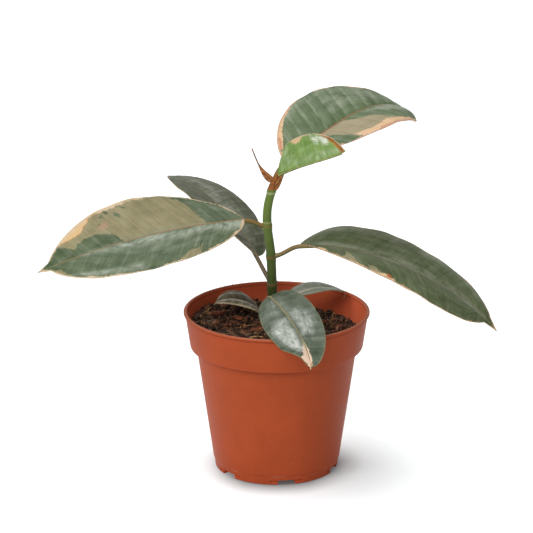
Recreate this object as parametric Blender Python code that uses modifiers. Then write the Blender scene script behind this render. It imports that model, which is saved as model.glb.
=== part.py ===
"""Young variegated rubber plant in a round nursery pot.

Frame: +Z up, origin on the pot's axis at the plane that its foot stands on, -Y is the front.
Lengths are written in millimetres and turned into metres by mm().
"""

import math

import bmesh
import bpy
from mathutils import Vector
from mathutils.bvhtree import BVHTree
from mathutils.geometry import interpolate_bezier

# ---------------------------------------------------------------- driving dimensions, millimetres
GAP = 0.3                    # clearance between neighbouring solids

RIM_RADIUS = 52.4            # outside of the rolled lip
POT_HEIGHT = 92.0
LIP_HEIGHT = 1.6
LIP_PROUD = 1.0              # the lip stands this far outside the collar
COLLAR_RADIUS_LOW = 48.7
LEDGE_HEIGHT = 71.4          # underside of the collar
BODY_RADIUS_TOP = 45.2
BODY_RADIUS_LOW = 36.0       # just above the foot band
FOOT_BAND_HEIGHT = 5.6
FOOT_BAND_STEP = 0.5         # the foot band is set in this far under the body
FOOT_RADIUS = 34.9
WALL = 1.1
FOOT_WALL = 1.9
FLOOR = 1.2
POT_SEGMENTS = 64

DRAIN_COUNT = 6
DRAIN_FIRST_ANGLE = -81.0    # degrees from +X: one notch sits a little right of the front
NOTCH_WIDTH = 8.4
NOTCH_HEIGHT = 2.8
NOTCH_SLOPE = 1.2            # the notch is this much wider on each side at the bottom
RECESS_WIDTH = 18.0          # a wedge-shaped pocket on both sides of each notch
RECESS_DEPTH = 1.0           # deepest at its top
RECESS_TOP = 2.6
RECESS_LOW = 0.5             # where it runs out
DRAIN_INNER_RADIUS = 23.0
DRAIN_COVER_WIDTH = 11.0
DRAIN_COVER_HEIGHT = 4.4
DRAIN_HOLE_RADIUS = 2.6
DRAIN_HOLE_CENTRE = 27.5

SOIL_LEVEL = 80.3            # mean height of the soil's surface
SOIL_TILT = 0.05             # rise per millimetre towards -X
SOIL_MOUNDS = (              # centre x, centre y, height, spread
    (-29.0, 20.0, 4.6, 12.0),
    (-34.0, -2.0, 1.8, 9.0),
    (-12.0, -20.0, 2.2, 11.0),
    (18.0, 34.0, -1.4, 10.0),
    (30.0, -4.0, 1.2, 9.0),
)
SOIL_RINGS = 9
SOIL_SEGMENTS = 48

STEM_BOTTOM_RADIUS = 2.4
STEM_TOP_RADIUS = 1.75
STEM_POINTS = (              # the stem's axis, from its buried end to its neck
    (-1.0, 0.5, 46.0),
    (-2.0, 0.0, 80.0),
    (-2.5, 0.0, 102.0),
    (-3.2, 0.0, 124.0),
    (-5.2, 0.0, 141.0),
    (-5.0, 0.0, 152.0),
    (-2.6, 0.0, 162.5),
    (-0.6, 0.0, 167.5),
)
STEM_NODES = (107.0, 123.0, 141.0, 162.0)   # heights of the leaf scars
STEM_NODE_SWELL = 0.3
STEM_STEP = 2.5

LEAF_THICKNESS = 0.7
LEAF_LEAST_HALF_WIDTH = 0.4
MIDRIB_END = 0.92            # share of the blade's length that the raised midrib runs
MIDRIB_END_RADIUS = 0.45


def mm(*values):
    """A vector in metres from millimetres."""
    return Vector(values) * 0.001


# ---------------------------------------------------------------- the leaves, millimetres and degrees
# base, handles, tip: the blade's midrib as one cubic curve.
# left, right: for each half, its greatest half width, where that lies along the blade (0 to 1),
#   the angle at which it leaves the midrib, and how far it bends back down towards its margin.
# roll: the blade's turn about its midrib, at its base and at its tip.
# fullness: for each half, how blunt it ends: the lower, the fuller its tip.
# stalk: where the stalk leaves the stem's axis, and the way it first points.
LEAVES = {
    "leaf_left": dict(
        base=(-18.5, -3.5, 146.5), handles=((-53.5, -24, 149), (-90, -49, 148)), tip=(-129, -54, 131.5),
        left=(27.5, 0.51, -1, 18), right=(29, 0.47, 17, 0), roll=(-4, -18), fullness=(0.62, 0.68),
        drip=(0.07, 0.13), stalk=((-5.2, 0, 140.5), (-6, -1, 2)), stalk_radius=1.25,
        cells=(18, 6), colour="leaf_variegated"),
    "leaf_right": dict(
        base=(13, -6.5, 132.7), handles=((40, -24.5, 139.7), (94, -13, 122.5)), tip=(121.5, -29.5, 89.5),
        left=(25, 0.40, 20, 18), right=(24.5, 0.66, 13, 47), roll=(4, 3), fullness=(0.70, 0.65),
        drip=(0.08, 0.17), stalk=((-3.2, 0, 123.5), (6, -1, 0.5)), stalk_radius=1.25,
        cells=(18, 6), colour="leaf_grey_green"),
    "leaf_back_left": dict(
        base=(-10.5, 8.5, 121), handles=((-26, 40, 139.5), (-50.5, 78.5, 148.5)), tip=(-64, 107, 140),
        left=(19.2, 0.51, 17, 13), right=(20.8, 0.49, 12, 29), roll=(16, 1), fullness=(0.79, 0.60),
        drip=(0.07, 0.11), stalk=((-2.6, 0, 107), (-3, 2, 4)), stalk_radius=1.2,
        cells=(18, 6), colour="leaf_grey_green"),
    "leaf_top": dict(
        base=(4.5, 4, 177.5), handles=((30.5, 18, 194), (61.5, 57, 211)), tip=(79.5, 67, 185.5),
        left=(31, 0.44, 14, 8), right=(27.8, 0.61, 8, 14), roll=(10, 2), fullness=(0.74, 0.56),
        drip=(0.07, 0.05), stalk=((-2.2, 0, 163.5), (0.5, 4, 3)), stalk_radius=1.3,
        cells=(18, 6), colour="leaf_variegated"),
    "leaf_young": dict(
        base=(0.5, -1.6, 171.7), handles=((14.5, -10, 181), (30, -15.5, 184.7)), tip=(37.4, -22.5, 191),
        left=(15.9, 0.52, 73, 2), right=(16.2, 0.52, 76, 0), roll=(0, -2), fullness=(0.72, 0.65),
        drip=(0.06, 0.16), stalk=((-0.9, 0, 166.8), (0.5, 0, 2)), stalk_radius=0.8,
        cells=(14, 6), colour="leaf_young"),
    "leaf_low_front": dict(
        base=(-4, -10.5, 103.5), handles=((3, -30, 105), (19, -63.5, 93)), tip=(18, -69, 81.5),
        left=(16, 0.44, 11, -4), right=(16, 0.49, 0, 13), roll=(10, 4), fullness=(0.62, 0.65),
        drip=(0.07, 0.10), stalk=((-2.3, 0, 91), (-0.5, -3, 4)), stalk_radius=1.1,
        cells=(14, 6), colour="leaf_grey_green"),
    "leaf_low_left": dict(
        base=(-7.5, 9, 86), handles=((-15.5, 6, 98.5), (-30.5, 3, 100.5)), tip=(-35.5, 4, 93.5),
        left=(12, 0.44, 13, 24), right=(11, 0.45, 15, 20), roll=(-4, -2), fullness=(0.62, 0.62),
        drip=(0.07, 0.10), stalk=((-2.0, 0, 85), (-2, 3, 0.5)), stalk_radius=0.9,
        cells=(10, 4), colour="leaf_grey_green"),
    "leaf_low_right": dict(
        base=(7.5, 9, 97), handles=((19, 16, 100.5), (28, 20.5, 101)), tip=(39.5, 30, 93),
        left=(10, 0.45, 11, 19), right=(11, 0.45, 13, 16), roll=(-4, 5), fullness=(0.61, 0.61),
        drip=(0.07, 0.10), stalk=((-2.4, 0, 91), (3, 3, 1)), stalk_radius=0.9,
        cells=(10, 4), colour="leaf_grey_green"),
}
STIPULES = {
    "stipule_left": dict(
        base=(-2.8, -1, 167.2), handles=((-6.5, -1, 169), (-10, -1.6, 176)), tip=(-13.7, -2, 186.5),
        left=(1.9, 0.2, 25, 10), right=(1.9, 0.2, 25, 10), roll=(65, 40), fullness=(1.5, 1.5),
        drip=(0.3, 0.16), cells=(12, 4), colour="stipule_dry"),
    "stipule_right": dict(
        base=(-0.7, -2.6, 163.2), handles=((-0.1, -2.7, 165.5), (1.2, -2.7, 168)), tip=(2.7, -2.4, 170.4),
        left=(0.9, 0.5, 12, 10), right=(0.9, 0.5, 12, 10), roll=(-62, -62), fullness=(0.7, 0.7),
        drip=(0.1, 0.3), cells=(8, 2), colour="stipule_dry"),
}
STIPULE_THICKNESS = 0.45

# ---------------------------------------------------------------- loose pieces on the soil
# x, y, turn about Z, length, width, thickness
BARK_CHIPS = (
    (-11.0, -9.0, 20.0, 8.0, 5.0, 1.6),
    (-16.5, -14.0, -35.0, 6.5, 3.0, 1.2),
    (-28.0, -6.0, 70.0, 6.0, 3.6, 1.3),
    (-33.0, 9.0, 10.0, 7.0, 4.2, 1.6),
    (-22.0, 8.0, -20.0, 5.5, 4.0, 1.4),
    (-24.0, 27.0, 15.0, 6.0, 3.5, 1.4),
    (27.0, 14.0, 40.0, 6.0, 3.6, 1.4),
    (36.0, 4.0, -30.0, 5.5, 3.2, 1.3),
    (22.0, -12.0, 75.0, 6.0, 3.8, 1.4),
)
# x, y, turn about Z, length, radius
STRAWS = (
    (-38.5, 14.0, 62.0, 13.0, 0.55),
    (-10.0, -20.5, 12.0, 10.0, 0.5),
    (-17.5, -2.0, 50.0, 9.0, 0.45),
)

COLOURS = {                  # base colour (linear), roughness
    "pot_plastic": ((0.42, 0.09, 0.035), 0.5),
    "soil": ((0.022, 0.014, 0.010), 0.95),
    "stem_bark": ((0.06, 0.13, 0.03), 0.55),
    "leaf_variegated": ((0.20, 0.24, 0.13), 0.35),
    "leaf_grey_green": ((0.09, 0.13, 0.09), 0.35),
    "leaf_young": ((0.27, 0.44, 0.12), 0.4),
    "stipule_dry": ((0.36, 0.14, 0.05), 0.7),
    "bark": ((0.12, 0.045, 0.025), 0.9),
    "straw": ((0.42, 0.26, 0.12), 0.8),
}


# ---------------------------------------------------------------- scene helpers
def clear_scene():
    for item in list(bpy.data.objects):
        bpy.data.objects.remove(item, do_unlink=True)


def collection(name):
    made = bpy.data.collections.get(name) or bpy.data.collections.new(name)
    if made.name not in bpy.context.scene.collection.children:
        bpy.context.scene.collection.children.link(made)
    return made


def material(name):
    made = bpy.data.materials.get(name)
    if made is None:
        colour, roughness = COLOURS[name]
        made = bpy.data.materials.new(name)
        made.use_nodes = True
        shader = made.node_tree.nodes["Principled BSDF"]
        shader.inputs["Base Color"].default_value = (*colour, 1.0)
        shader.inputs["Roughness"].default_value = roughness
        shader.inputs["Metallic"].default_value = 0.0
    return made


def add_object(name, data, group, material_name=None):
    made = bpy.data.objects.new(name, data)
    collection(group).objects.link(made)
    if material_name:
        data.materials.clear()
        data.materials.append(material(material_name))
    return made


def mesh_from_bmesh(name, bm):
    mesh = bpy.data.meshes.new(name)
    bm.to_mesh(mesh)
    bm.free()
    return mesh


def as_guide(item):
    item.hide_render = True
    item.display_type = "WIRE"
    return item


def baked(item):
    """Turn an object with modifiers, or a curve, into a plain welded mesh object of the same name."""
    bpy.context.view_layer.update()
    evaluated = item.evaluated_get(bpy.context.evaluated_depsgraph_get())
    mesh = bpy.data.meshes.new_from_object(evaluated)
    bm = bmesh.new()
    bm.from_mesh(mesh)
    bmesh.ops.remove_doubles(bm, verts=bm.verts, dist=0.000005)
    bm.to_mesh(mesh)
    bm.free()
    name = item.name
    groups = list(item.users_collection)
    place = item.matrix_world.copy()
    bpy.data.objects.remove(item, do_unlink=True)
    made = bpy.data.objects.new(name, mesh)
    made.matrix_world = place
    for group in groups:
        group.objects.link(made)
    return made


def boolean(item, other, operation, solver="EXACT"):
    step = item.modifiers.new(other.name, "BOOLEAN")
    step.object = other
    step.operation = operation
    step.solver = solver
    return step


def shade_round(item, angle=40.0):
    item.data.shade_smooth()
    item.data.set_sharp_from_angle(angle=math.radians(angle))


# ---------------------------------------------------------------- turned shapes
def turned(name, profile, segments, group, material_name=None):
    """A body of revolution about +Z. The profile runs from the axis back to the axis, radius and height."""
    bm = bmesh.new()
    verts = [bm.verts.new(mm(radius, 0.0, height)) for radius, height in profile]
    for first, second in zip(verts, verts[1:]):
        bm.edges.new((first, second))
    item = add_object(name, mesh_from_bmesh(name, bm), group, material_name)
    screw = item.modifiers.new("turn", "SCREW")
    screw.axis = "Z"
    screw.angle = math.tau
    screw.steps = segments
    screw.render_steps = segments
    screw.use_merge_vertices = True
    screw.merge_threshold = 0.00001
    return item


def pot_profile():
    """Inside of the floor, up the inner wall, over the lip and down the outer side to the foot."""
    lip_low = POT_HEIGHT - LIP_HEIGHT
    collar_top = RIM_RADIUS - LIP_PROUD
    inner_rim = collar_top - WALL
    inner_ledge = LEDGE_HEIGHT + WALL
    foot_inner = FOOT_RADIUS - FOOT_WALL
    return [
        (0.0, FLOOR),
        (foot_inner - 1.5, FLOOR),
        (foot_inner, FLOOR + 1.2),
        (BODY_RADIUS_LOW - WALL + 0.3, FOOT_BAND_HEIGHT + 2.0),
        (BODY_RADIUS_TOP - WALL, LEDGE_HEIGHT - 1.0),
        (BODY_RADIUS_TOP - WALL + 0.6, inner_ledge - 0.2),
        (COLLAR_RADIUS_LOW - WALL - 0.6, inner_ledge + 0.2),
        (COLLAR_RADIUS_LOW - WALL, inner_ledge + 1.0),
        (inner_rim, lip_low),
        (inner_rim + 0.1, POT_HEIGHT - 0.4),
        (inner_rim + 0.45, POT_HEIGHT),
        (RIM_RADIUS - 0.55, POT_HEIGHT),
        (RIM_RADIUS - 0.1, POT_HEIGHT - 0.35),
        (RIM_RADIUS, POT_HEIGHT - 0.8),
        (RIM_RADIUS - 0.1, lip_low + 0.3),
        (collar_top, lip_low),
        (COLLAR_RADIUS_LOW + 0.1, LEDGE_HEIGHT + 0.8),
        (COLLAR_RADIUS_LOW - 0.1, LEDGE_HEIGHT + 0.2),
        (COLLAR_RADIUS_LOW - 0.6, LEDGE_HEIGHT),
        (BODY_RADIUS_TOP + 0.3, LEDGE_HEIGHT - 0.1),
        (BODY_RADIUS_TOP, LEDGE_HEIGHT - 0.6),
        (BODY_RADIUS_LOW, FOOT_BAND_HEIGHT + 0.3),
        (BODY_RADIUS_LOW - 0.1, FOOT_BAND_HEIGHT),
        (BODY_RADIUS_LOW - FOOT_BAND_STEP, FOOT_BAND_HEIGHT - 0.4),
        (FOOT_RADIUS, 0.4),
        (FOOT_RADIUS - 0.3, 0.0),
        (0.0, 0.0),
    ]


def drain_angles():
    return [math.radians(DRAIN_FIRST_ANGLE + 360.0 * k / DRAIN_COUNT) for k in range(DRAIN_COUNT)]


def turned_boxes(name, inner, outer, width, low, high, low_width=None):
    """One guide mesh with a box at each drain, lying along its radius. low_width flares the bottom."""
    bm = bmesh.new()
    for angle in drain_angles():
        box = bmesh.ops.create_cube(bm, size=1.0)["verts"]
        for vert in box:
            along = inner if vert.co.x < 0 else outer
            side = (low_width or width) if vert.co.z < 0 else width
            across = math.copysign(side / 2, vert.co.y)
            height = low if vert.co.z < 0 else high
            vert.co = mm(
                along * math.cos(angle) - across * math.sin(angle),
                along * math.sin(angle) + across * math.cos(angle),
                height)
    return as_guide(add_object(name, mesh_from_bmesh(name, bm), "cutters"))


def drain_holes():
    bm = bmesh.new()
    for angle in drain_angles():
        hole = bmesh.ops.create_cone(
            bm, cap_ends=True, segments=16, radius1=DRAIN_HOLE_RADIUS * 0.001,
            radius2=DRAIN_HOLE_RADIUS * 0.001, depth=0.01)["verts"]
        centre = mm(DRAIN_HOLE_CENTRE * math.cos(angle), DRAIN_HOLE_CENTRE * math.sin(angle), 4.0)
        bmesh.ops.translate(bm, verts=hole, vec=centre)
    return as_guide(add_object("drain_holes", mesh_from_bmesh("drain_holes", bm), "cutters"))


def foot_recess_ring():
    """A wedge-shaped ring in the foot's skin: what it shares with the recess boxes is cut from the foot."""
    inner, outer = FOOT_RADIUS - RECESS_DEPTH, FOOT_RADIUS + RECESS_DEPTH
    profile = [
        (inner, RECESS_TOP),
        (outer, RECESS_TOP),
        (outer, 2 * RECESS_LOW - RECESS_TOP),
        (inner, RECESS_TOP),
    ]
    ring = baked(turned("foot_recesses", profile, POT_SEGMENTS, "cutters"))
    boxes = turned_boxes("recess_boxes", 20.0, 50.0, RECESS_WIDTH, -3.0, NOTCH_HEIGHT + 1.0)
    boolean(ring, boxes, "INTERSECT")
    return as_guide(ring)


def make_pot():
    pot = turned("pot", pot_profile(), POT_SEGMENTS, "potted_rubber_plant", "pot_plastic")
    wall_inside = FOOT_RADIUS - 0.7
    covers = turned_boxes("drain_covers", DRAIN_INNER_RADIUS, wall_inside, DRAIN_COVER_WIDTH,
                          FLOOR - 0.5, DRAIN_COVER_HEIGHT)
    channels = turned_boxes("drain_channels", DRAIN_INNER_RADIUS + 1.2, 45.0, NOTCH_WIDTH, -1.0, NOTCH_HEIGHT,
                            NOTCH_WIDTH + 2 * NOTCH_SLOPE)
    boolean(pot, covers, "UNION")
    boolean(pot, foot_recess_ring(), "DIFFERENCE")
    boolean(pot, channels, "DIFFERENCE")
    boolean(pot, drain_holes(), "DIFFERENCE")
    return pot


# ---------------------------------------------------------------- soil
def soil_height(x, y):
    """Height of the soil's surface in millimetres at a place in the pot."""
    height = SOIL_LEVEL - SOIL_TILT * x
    for centre_x, centre_y, rise, spread in SOIL_MOUNDS:
        far = ((x - centre_x) ** 2 + (y - centre_y) ** 2) / (2 * spread ** 2)
        height += rise * math.exp(-far)
    return height + 0.5 * math.sin(0.55 * x + 1.0) * math.cos(0.48 * y - 0.6)


def inner_radius(height):
    """Inside radius of the pot's collar at a height above its ledge."""
    low = COLLAR_RADIUS_LOW - WALL
    high = RIM_RADIUS - LIP_PROUD - WALL
    share = (height - LEDGE_HEIGHT - 2.1) / (POT_HEIGHT - LIP_HEIGHT - LEDGE_HEIGHT - 2.1)
    return low + (high - low) * share


def make_soil():
    """The root ball: it follows the pot's inner wall, with mounds on its top."""
    inner_ledge = LEDGE_HEIGHT + WALL
    bottom = FLOOR + GAP
    edge = SOIL_LEVEL
    top_rings = [(inner_radius(edge) - GAP) * k / SOIL_RINGS for k in range(SOIL_RINGS + 1)]
    profile = [(radius, edge) for radius in top_rings]
    profile += [
        (COLLAR_RADIUS_LOW - WALL - GAP, inner_ledge + 1.3),
        (COLLAR_RADIUS_LOW - WALL - 1.2, inner_ledge + 0.2 + GAP),
        (BODY_RADIUS_TOP - WALL - GAP, inner_ledge - 0.2),
        (BODY_RADIUS_TOP - WALL - GAP, LEDGE_HEIGHT - 1.4),
        (BODY_RADIUS_LOW - WALL + 0.3 - GAP, FOOT_BAND_HEIGHT + 2.2),
        (FOOT_RADIUS - FOOT_WALL - 1.9, bottom),
        (0.0, bottom),
    ]
    soil = baked(turned("soil", profile, SOIL_SEGMENTS, "potted_rubber_plant", "soil"))
    for vert in soil.data.vertices:
        if vert.co.z > (edge - 0.1) * 0.001:
            x, y = vert.co.x * 1000, vert.co.y * 1000
            height = soil_height(x, y)
            radius = math.hypot(x, y)
            widest = inner_radius(height) - GAP
            if radius > widest - 0.8 or radius > top_rings[-1] - 0.1:
                x, y = x * widest / radius, y * widest / radius
            vert.co = mm(x, y, height)
    clearance = turned_boxes("soil_drain_clearance", DRAIN_INNER_RADIUS - GAP, 45.0,
                             DRAIN_COVER_WIDTH + 2 * GAP, 0.5, DRAIN_COVER_HEIGHT + GAP)
    boolean(soil, clearance, "DIFFERENCE")
    return soil


# ---------------------------------------------------------------- tubes
def tube(name, points, radii, group, material_name=None, sides=2):
    """A round bar through points in metres, with a radius in millimetres at each, and closed ends."""
    data = bpy.data.curves.new(name, "CURVE")
    data.dimensions = "3D"
    data.bevel_depth = 0.001
    data.bevel_resolution = sides
    data.use_fill_caps = True
    spline = data.splines.new("POLY")
    spline.points.add(len(points) - 1)
    for place, point, radius in zip(spline.points, points, radii):
        place.co = (*point, 1.0)
        place.radius = radius
    return add_object(name, data, group, material_name)


def smooth_path(points, step):
    """Points every step millimetres along a smooth curve through points given in millimetres."""
    knots = [mm(*point) for point in points]
    path = []
    for k in range(len(knots) - 1):
        before = knots[max(k - 1, 0)]
        after = knots[min(k + 2, len(knots) - 1)]
        start, end = knots[k], knots[k + 1]
        handle1 = start + (end - before) / 6
        handle2 = end - (after - start) / 6
        count = max(2, round((end - start).length * 1000 / step))
        path += interpolate_bezier(start, handle1, handle2, end, count + 1)[:-1]
    return path + [knots[-1]]


def stem_radius(height):
    low, top = STEM_POINTS[0][2], STEM_POINTS[-1][2]
    left = min(max((top - height) / (top - low), 0.0), 1.0)
    radius = STEM_TOP_RADIUS + (STEM_BOTTOM_RADIUS - STEM_TOP_RADIUS) * math.sqrt(left)
    for node in STEM_NODES:
        radius += STEM_NODE_SWELL * math.exp(-((height - node) / 2.0) ** 2)
    return radius


def make_stem():
    path = smooth_path(STEM_POINTS, STEM_STEP)
    radii = [stem_radius(point.z * 1000) for point in path]
    return baked(tube("stem", path, radii, "potted_rubber_plant", "stem_bark", sides=3))


def stem_clearance():
    """The stem grown by the gap: it is cut from the soil and from each leaf stalk."""
    path = smooth_path(STEM_POINTS, STEM_STEP)
    path[0] = path[0] - mm(0, 0, GAP)
    path.append(path[-1] + mm(0.1, 0, GAP))
    radii = [stem_radius(point.z * 1000) + GAP for point in path]
    return as_guide(baked(tube("stem_clearance", path, radii, "cutters", sides=3)))


# ---------------------------------------------------------------- leaves
class Spine:
    """A blade's midrib, with an even measure along it and a frame at each place."""

    def __init__(self, leaf):
        first, second = leaf["handles"]
        self.points = interpolate_bezier(mm(*leaf["base"]), mm(*first), mm(*second), mm(*leaf["tip"]), 121)
        self.roll = leaf["roll"]
        self.marks = [0.0]
        for start, end in zip(self.points, self.points[1:]):
            self.marks.append(self.marks[-1] + (end - start).length)

    def point(self, share):
        distance = share * self.marks[-1]
        for k in range(1, len(self.marks)):
            if self.marks[k] >= distance or k == len(self.marks) - 1:
                part = (distance - self.marks[k - 1]) / (self.marks[k] - self.marks[k - 1])
                return self.points[k - 1].lerp(self.points[k], part)

    def frame(self, share):
        """Tangent, upper normal and right-hand side at a share of the length."""
        tangent = (self.point(min(share + 0.02, 1.0)) - self.point(max(share - 0.02, 0.0))).normalized()
        flat = Vector((0, 0, 1)) - tangent * tangent.z
        normal = flat.normalized()
        side = tangent.cross(normal)
        roll = math.radians(self.roll[0] + (self.roll[1] - self.roll[0]) * share)
        return (tangent,
                normal * math.cos(roll) + side * math.sin(roll),
                side * math.cos(roll) - normal * math.sin(roll))


def half_width(leaf, half, share):
    """Half the blade's width at a share of its length: a full oval with a narrow drip tip."""
    widest, place, _, _ = leaf[half]
    drip_length, drip_width = leaf["drip"]
    fall = leaf["fullness"][half == "right"]
    rise = fall * place / (1 - place)
    along = min(share / (1 - 0.8 * drip_length), 1.0)
    oval = (along ** rise * (1 - along) ** fall) / (place ** rise * (1 - place) ** fall)
    tail = drip_width * min((1 - share) / drip_length, 1.0) * min(max((share - 0.5) / 0.3, 0.0), 1.0)
    return max(widest * math.hypot(oval, tail), LEAF_LEAST_HALF_WIDTH)


def blade_point(leaf, spine, share, across):
    """A place on the blade's upper face: share along it, across from -1 (left) to 1 (right)."""
    half = "right" if across > 0 else "left"
    _, _, lift, bend = leaf[half]
    lift, bend = math.radians(lift), math.radians(bend) or 0.001
    reach = abs(across)
    out = (math.sin(lift) - math.sin(lift - bend * reach)) / bend
    up = (math.cos(lift - bend * reach) - math.cos(lift)) / bend
    _, normal, side = spine.frame(share)
    width = half_width(leaf, half, share) * 0.001
    return spine.point(share) + side * math.copysign(out * width, across) + normal * up * width


def make_blade(name, leaf, thickness):
    spine = Spine(leaf)
    along, across = leaf["cells"]
    bm = bmesh.new()
    bmesh.ops.create_grid(bm, x_segments=along, y_segments=across, size=1.0)
    for vert in bm.verts:
        vert.co = blade_point(leaf, spine, (vert.co.x + 1) / 2, -vert.co.y)
    item = add_object(name, mesh_from_bmesh(name, bm), "potted_rubber_plant", leaf["colour"])
    shell = item.modifiers.new("thickness", "SOLIDIFY")
    shell.thickness = thickness * 0.001
    shell.offset = -1.0
    return item


def stalk_path(leaf):
    """The stalk's centre from the stem's axis to the blade, then under the blade as its midrib."""
    spine = Spine(leaf)
    radius = leaf["stalk_radius"]
    start, way = mm(*leaf["stalk"][0]), mm(*leaf["stalk"][1])
    tangent, normal, _ = spine.frame(0.0)
    base = spine.point(0.0) - normal * (radius + 0.1) * 0.001
    reach = (base - start).length / 2.5
    path = interpolate_bezier(start, start + way.normalized() * reach, base - tangent * reach, base, 9)
    radii = [radius] * len(path)
    rows = 10
    for k in range(1, rows + 1):
        share = MIDRIB_END * k / rows
        _, normal, _ = spine.frame(share)
        thin = radius + (MIDRIB_END_RADIUS - radius) * (k / rows) ** 0.6
        path.append(spine.point(share) - normal * (thin + 0.1) * 0.001)
        radii.append(thin)
    return path, radii


def make_leaf(name, leaf, clearance):
    """One solid: the blade, its midrib and its stalk, ending just short of the stem.

    The midrib grazes the thin blade all along, which the exact solver loses, so the union is MANIFOLD.
    """
    item = make_blade(name, leaf, LEAF_THICKNESS)
    path, radii = stalk_path(leaf)
    stalk = as_guide(baked(tube(name + "_stalk", path, radii, "cutters")))
    boolean(stalk, clearance, "DIFFERENCE")
    boolean(item, stalk, "UNION", solver="MANIFOLD")
    return item


# ---------------------------------------------------------------- loose pieces
def surface_of(item):
    bpy.context.view_layer.update()
    return BVHTree.FromObject(item, bpy.context.evaluated_depsgraph_get())


def seat(item, surface, soil):
    """Lift a piece until the narrowest gap between it and the soil under it is GAP."""
    bpy.context.view_layer.update()
    below = []
    for vert in item.data.vertices:
        place = item.matrix_world @ vert.co
        hit = surface.ray_cast(Vector((place.x, place.y, 0.2)), Vector((0, 0, -1)))[0]
        below.append(hit.z - place.z)
    tree = BVHTree.FromObject(item, bpy.context.evaluated_depsgraph_get())
    to_local = item.matrix_world.inverted()
    for vert in soil.data.vertices:
        start = to_local @ Vector((vert.co.x, vert.co.y, 0.0))
        hit = tree.ray_cast(start, Vector((0, 0, 1)))[0]
        if hit:
            below.append(vert.co.z - (item.matrix_world @ hit).z)
    item.location.z += max(below) + GAP * 0.001


def make_bark_chip(name, chip, surface, soil):
    x, y, turn, length, width, thickness = chip
    bm = bmesh.new()
    bmesh.ops.create_cube(bm, size=1.0)
    for vert in bm.verts:
        slim = 0.75 if vert.co.x > 0 else 1.0
        vert.co = mm(vert.co.x * length, vert.co.y * width * slim, vert.co.z * thickness)
    item = add_object(name, mesh_from_bmesh(name, bm), "potted_rubber_plant", "bark")
    edge = item.modifiers.new("edge", "BEVEL")
    edge.width = 0.0003
    edge.segments = 1
    item.location = mm(x, y, soil_height(x, y))
    item.rotation_euler.z = math.radians(turn)
    seat(item, surface, soil)
    return item


def make_straw(name, straw, surface, soil):
    x, y, turn, length, radius = straw
    bm = bmesh.new()
    bmesh.ops.create_cone(bm, cap_ends=True, segments=8, radius1=radius * 0.001,
                          radius2=radius * 0.0007, depth=length * 0.001)
    for vert in bm.verts:
        vert.co = Vector((vert.co.z, vert.co.x, vert.co.y))
    item = add_object(name, mesh_from_bmesh(name, bm), "potted_rubber_plant", "straw")
    item.location = mm(x, y, soil_height(x, y))
    item.rotation_euler.z = math.radians(turn)
    seat(item, surface, soil)
    return item


# ---------------------------------------------------------------- the whole plant
def main():
    clear_scene()
    make_pot()
    soil = make_soil()
    clearance = stem_clearance()
    boolean(soil, clearance, "DIFFERENCE")
    make_stem()
    for name, leaf in LEAVES.items():
        make_leaf(name, leaf, clearance)
    for name, leaf in STIPULES.items():
        make_blade(name, leaf, STIPULE_THICKNESS)
    surface = surface_of(soil)
    for number, chip in enumerate(BARK_CHIPS, 1):
        make_bark_chip(f"bark_chip_{number}", chip, surface, soil)
    for number, straw in enumerate(STRAWS, 1):
        make_straw(f"straw_{number}", straw, surface, soil)
    for item in collection("potted_rubber_plant").objects:
        shade_round(item)


main()
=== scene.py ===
"""Potted young rubber plant: the finished looks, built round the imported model.

Frame: metres, +Z up, origin on the pot's axis on the floor, -Y is the front.
Tables of shape are written in millimetres and degrees, and MM turns them into metres.
"""

import math
import random

import bmesh
import bpy
import numpy as np
from mathutils import Matrix, Vector, noise
from mathutils.geometry import interpolate_bezier


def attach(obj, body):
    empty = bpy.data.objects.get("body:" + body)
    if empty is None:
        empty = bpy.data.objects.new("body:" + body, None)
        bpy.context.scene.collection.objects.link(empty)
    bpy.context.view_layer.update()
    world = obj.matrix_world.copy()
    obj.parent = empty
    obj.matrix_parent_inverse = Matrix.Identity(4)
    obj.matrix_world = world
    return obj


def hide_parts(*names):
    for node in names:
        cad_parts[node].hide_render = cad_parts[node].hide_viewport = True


bl_info = {
    "name": "Potted rubber plant",
    "version": (1, 0, 0),
    "blender": (4, 5, 0),
    "location": "View3D > Sidebar > Rubber plant",
    "description": "Builds a young variegated rubber plant in its nursery pot",
    "category": "Add Mesh",
}

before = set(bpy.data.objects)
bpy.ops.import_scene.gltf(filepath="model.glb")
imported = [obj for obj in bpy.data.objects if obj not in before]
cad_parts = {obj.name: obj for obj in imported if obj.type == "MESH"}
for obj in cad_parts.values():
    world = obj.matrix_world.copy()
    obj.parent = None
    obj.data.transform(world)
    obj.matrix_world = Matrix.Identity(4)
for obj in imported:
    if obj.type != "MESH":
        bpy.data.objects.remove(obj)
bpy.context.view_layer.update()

MM = 0.001
BODY = "root"

# ---------------------------------------------------------------- shared with the solids, millimetres
LIP_HEIGHT = 1.6
LIP_PROUD = 1.0
COLLAR_RADIUS_LOW = 48.7
LEDGE_HEIGHT = 71.4
BODY_RADIUS_TOP = 45.2
BODY_RADIUS_LOW = 36.0
FOOT_BAND_HEIGHT = 5.6
FOOT_BAND_STEP = 0.5
FOOT_RADIUS = 34.9
FOOT_WALL = 1.9
FLOOR = 1.2
DRAIN_COUNT = 6
DRAIN_FIRST_ANGLE = -81.0
NOTCH_WIDTH = 8.4
NOTCH_HEIGHT = 2.8
NOTCH_SLOPE = 1.2
RECESS_WIDTH = 18.0
RECESS_DEPTH = 1.0
RECESS_TOP = 2.6
RECESS_LOW = 0.5
DRAIN_INNER_RADIUS = 23.0
DRAIN_COVER_WIDTH = 11.0
DRAIN_COVER_HEIGHT = 4.4
DRAIN_HOLE_RADIUS = 2.6
DRAIN_HOLE_CENTRE = 27.5
GAP = 0.3
DRAIN_ANGLES = [math.radians(DRAIN_FIRST_ANGLE + 360.0 * k / DRAIN_COUNT) for k in range(DRAIN_COUNT)]
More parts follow.
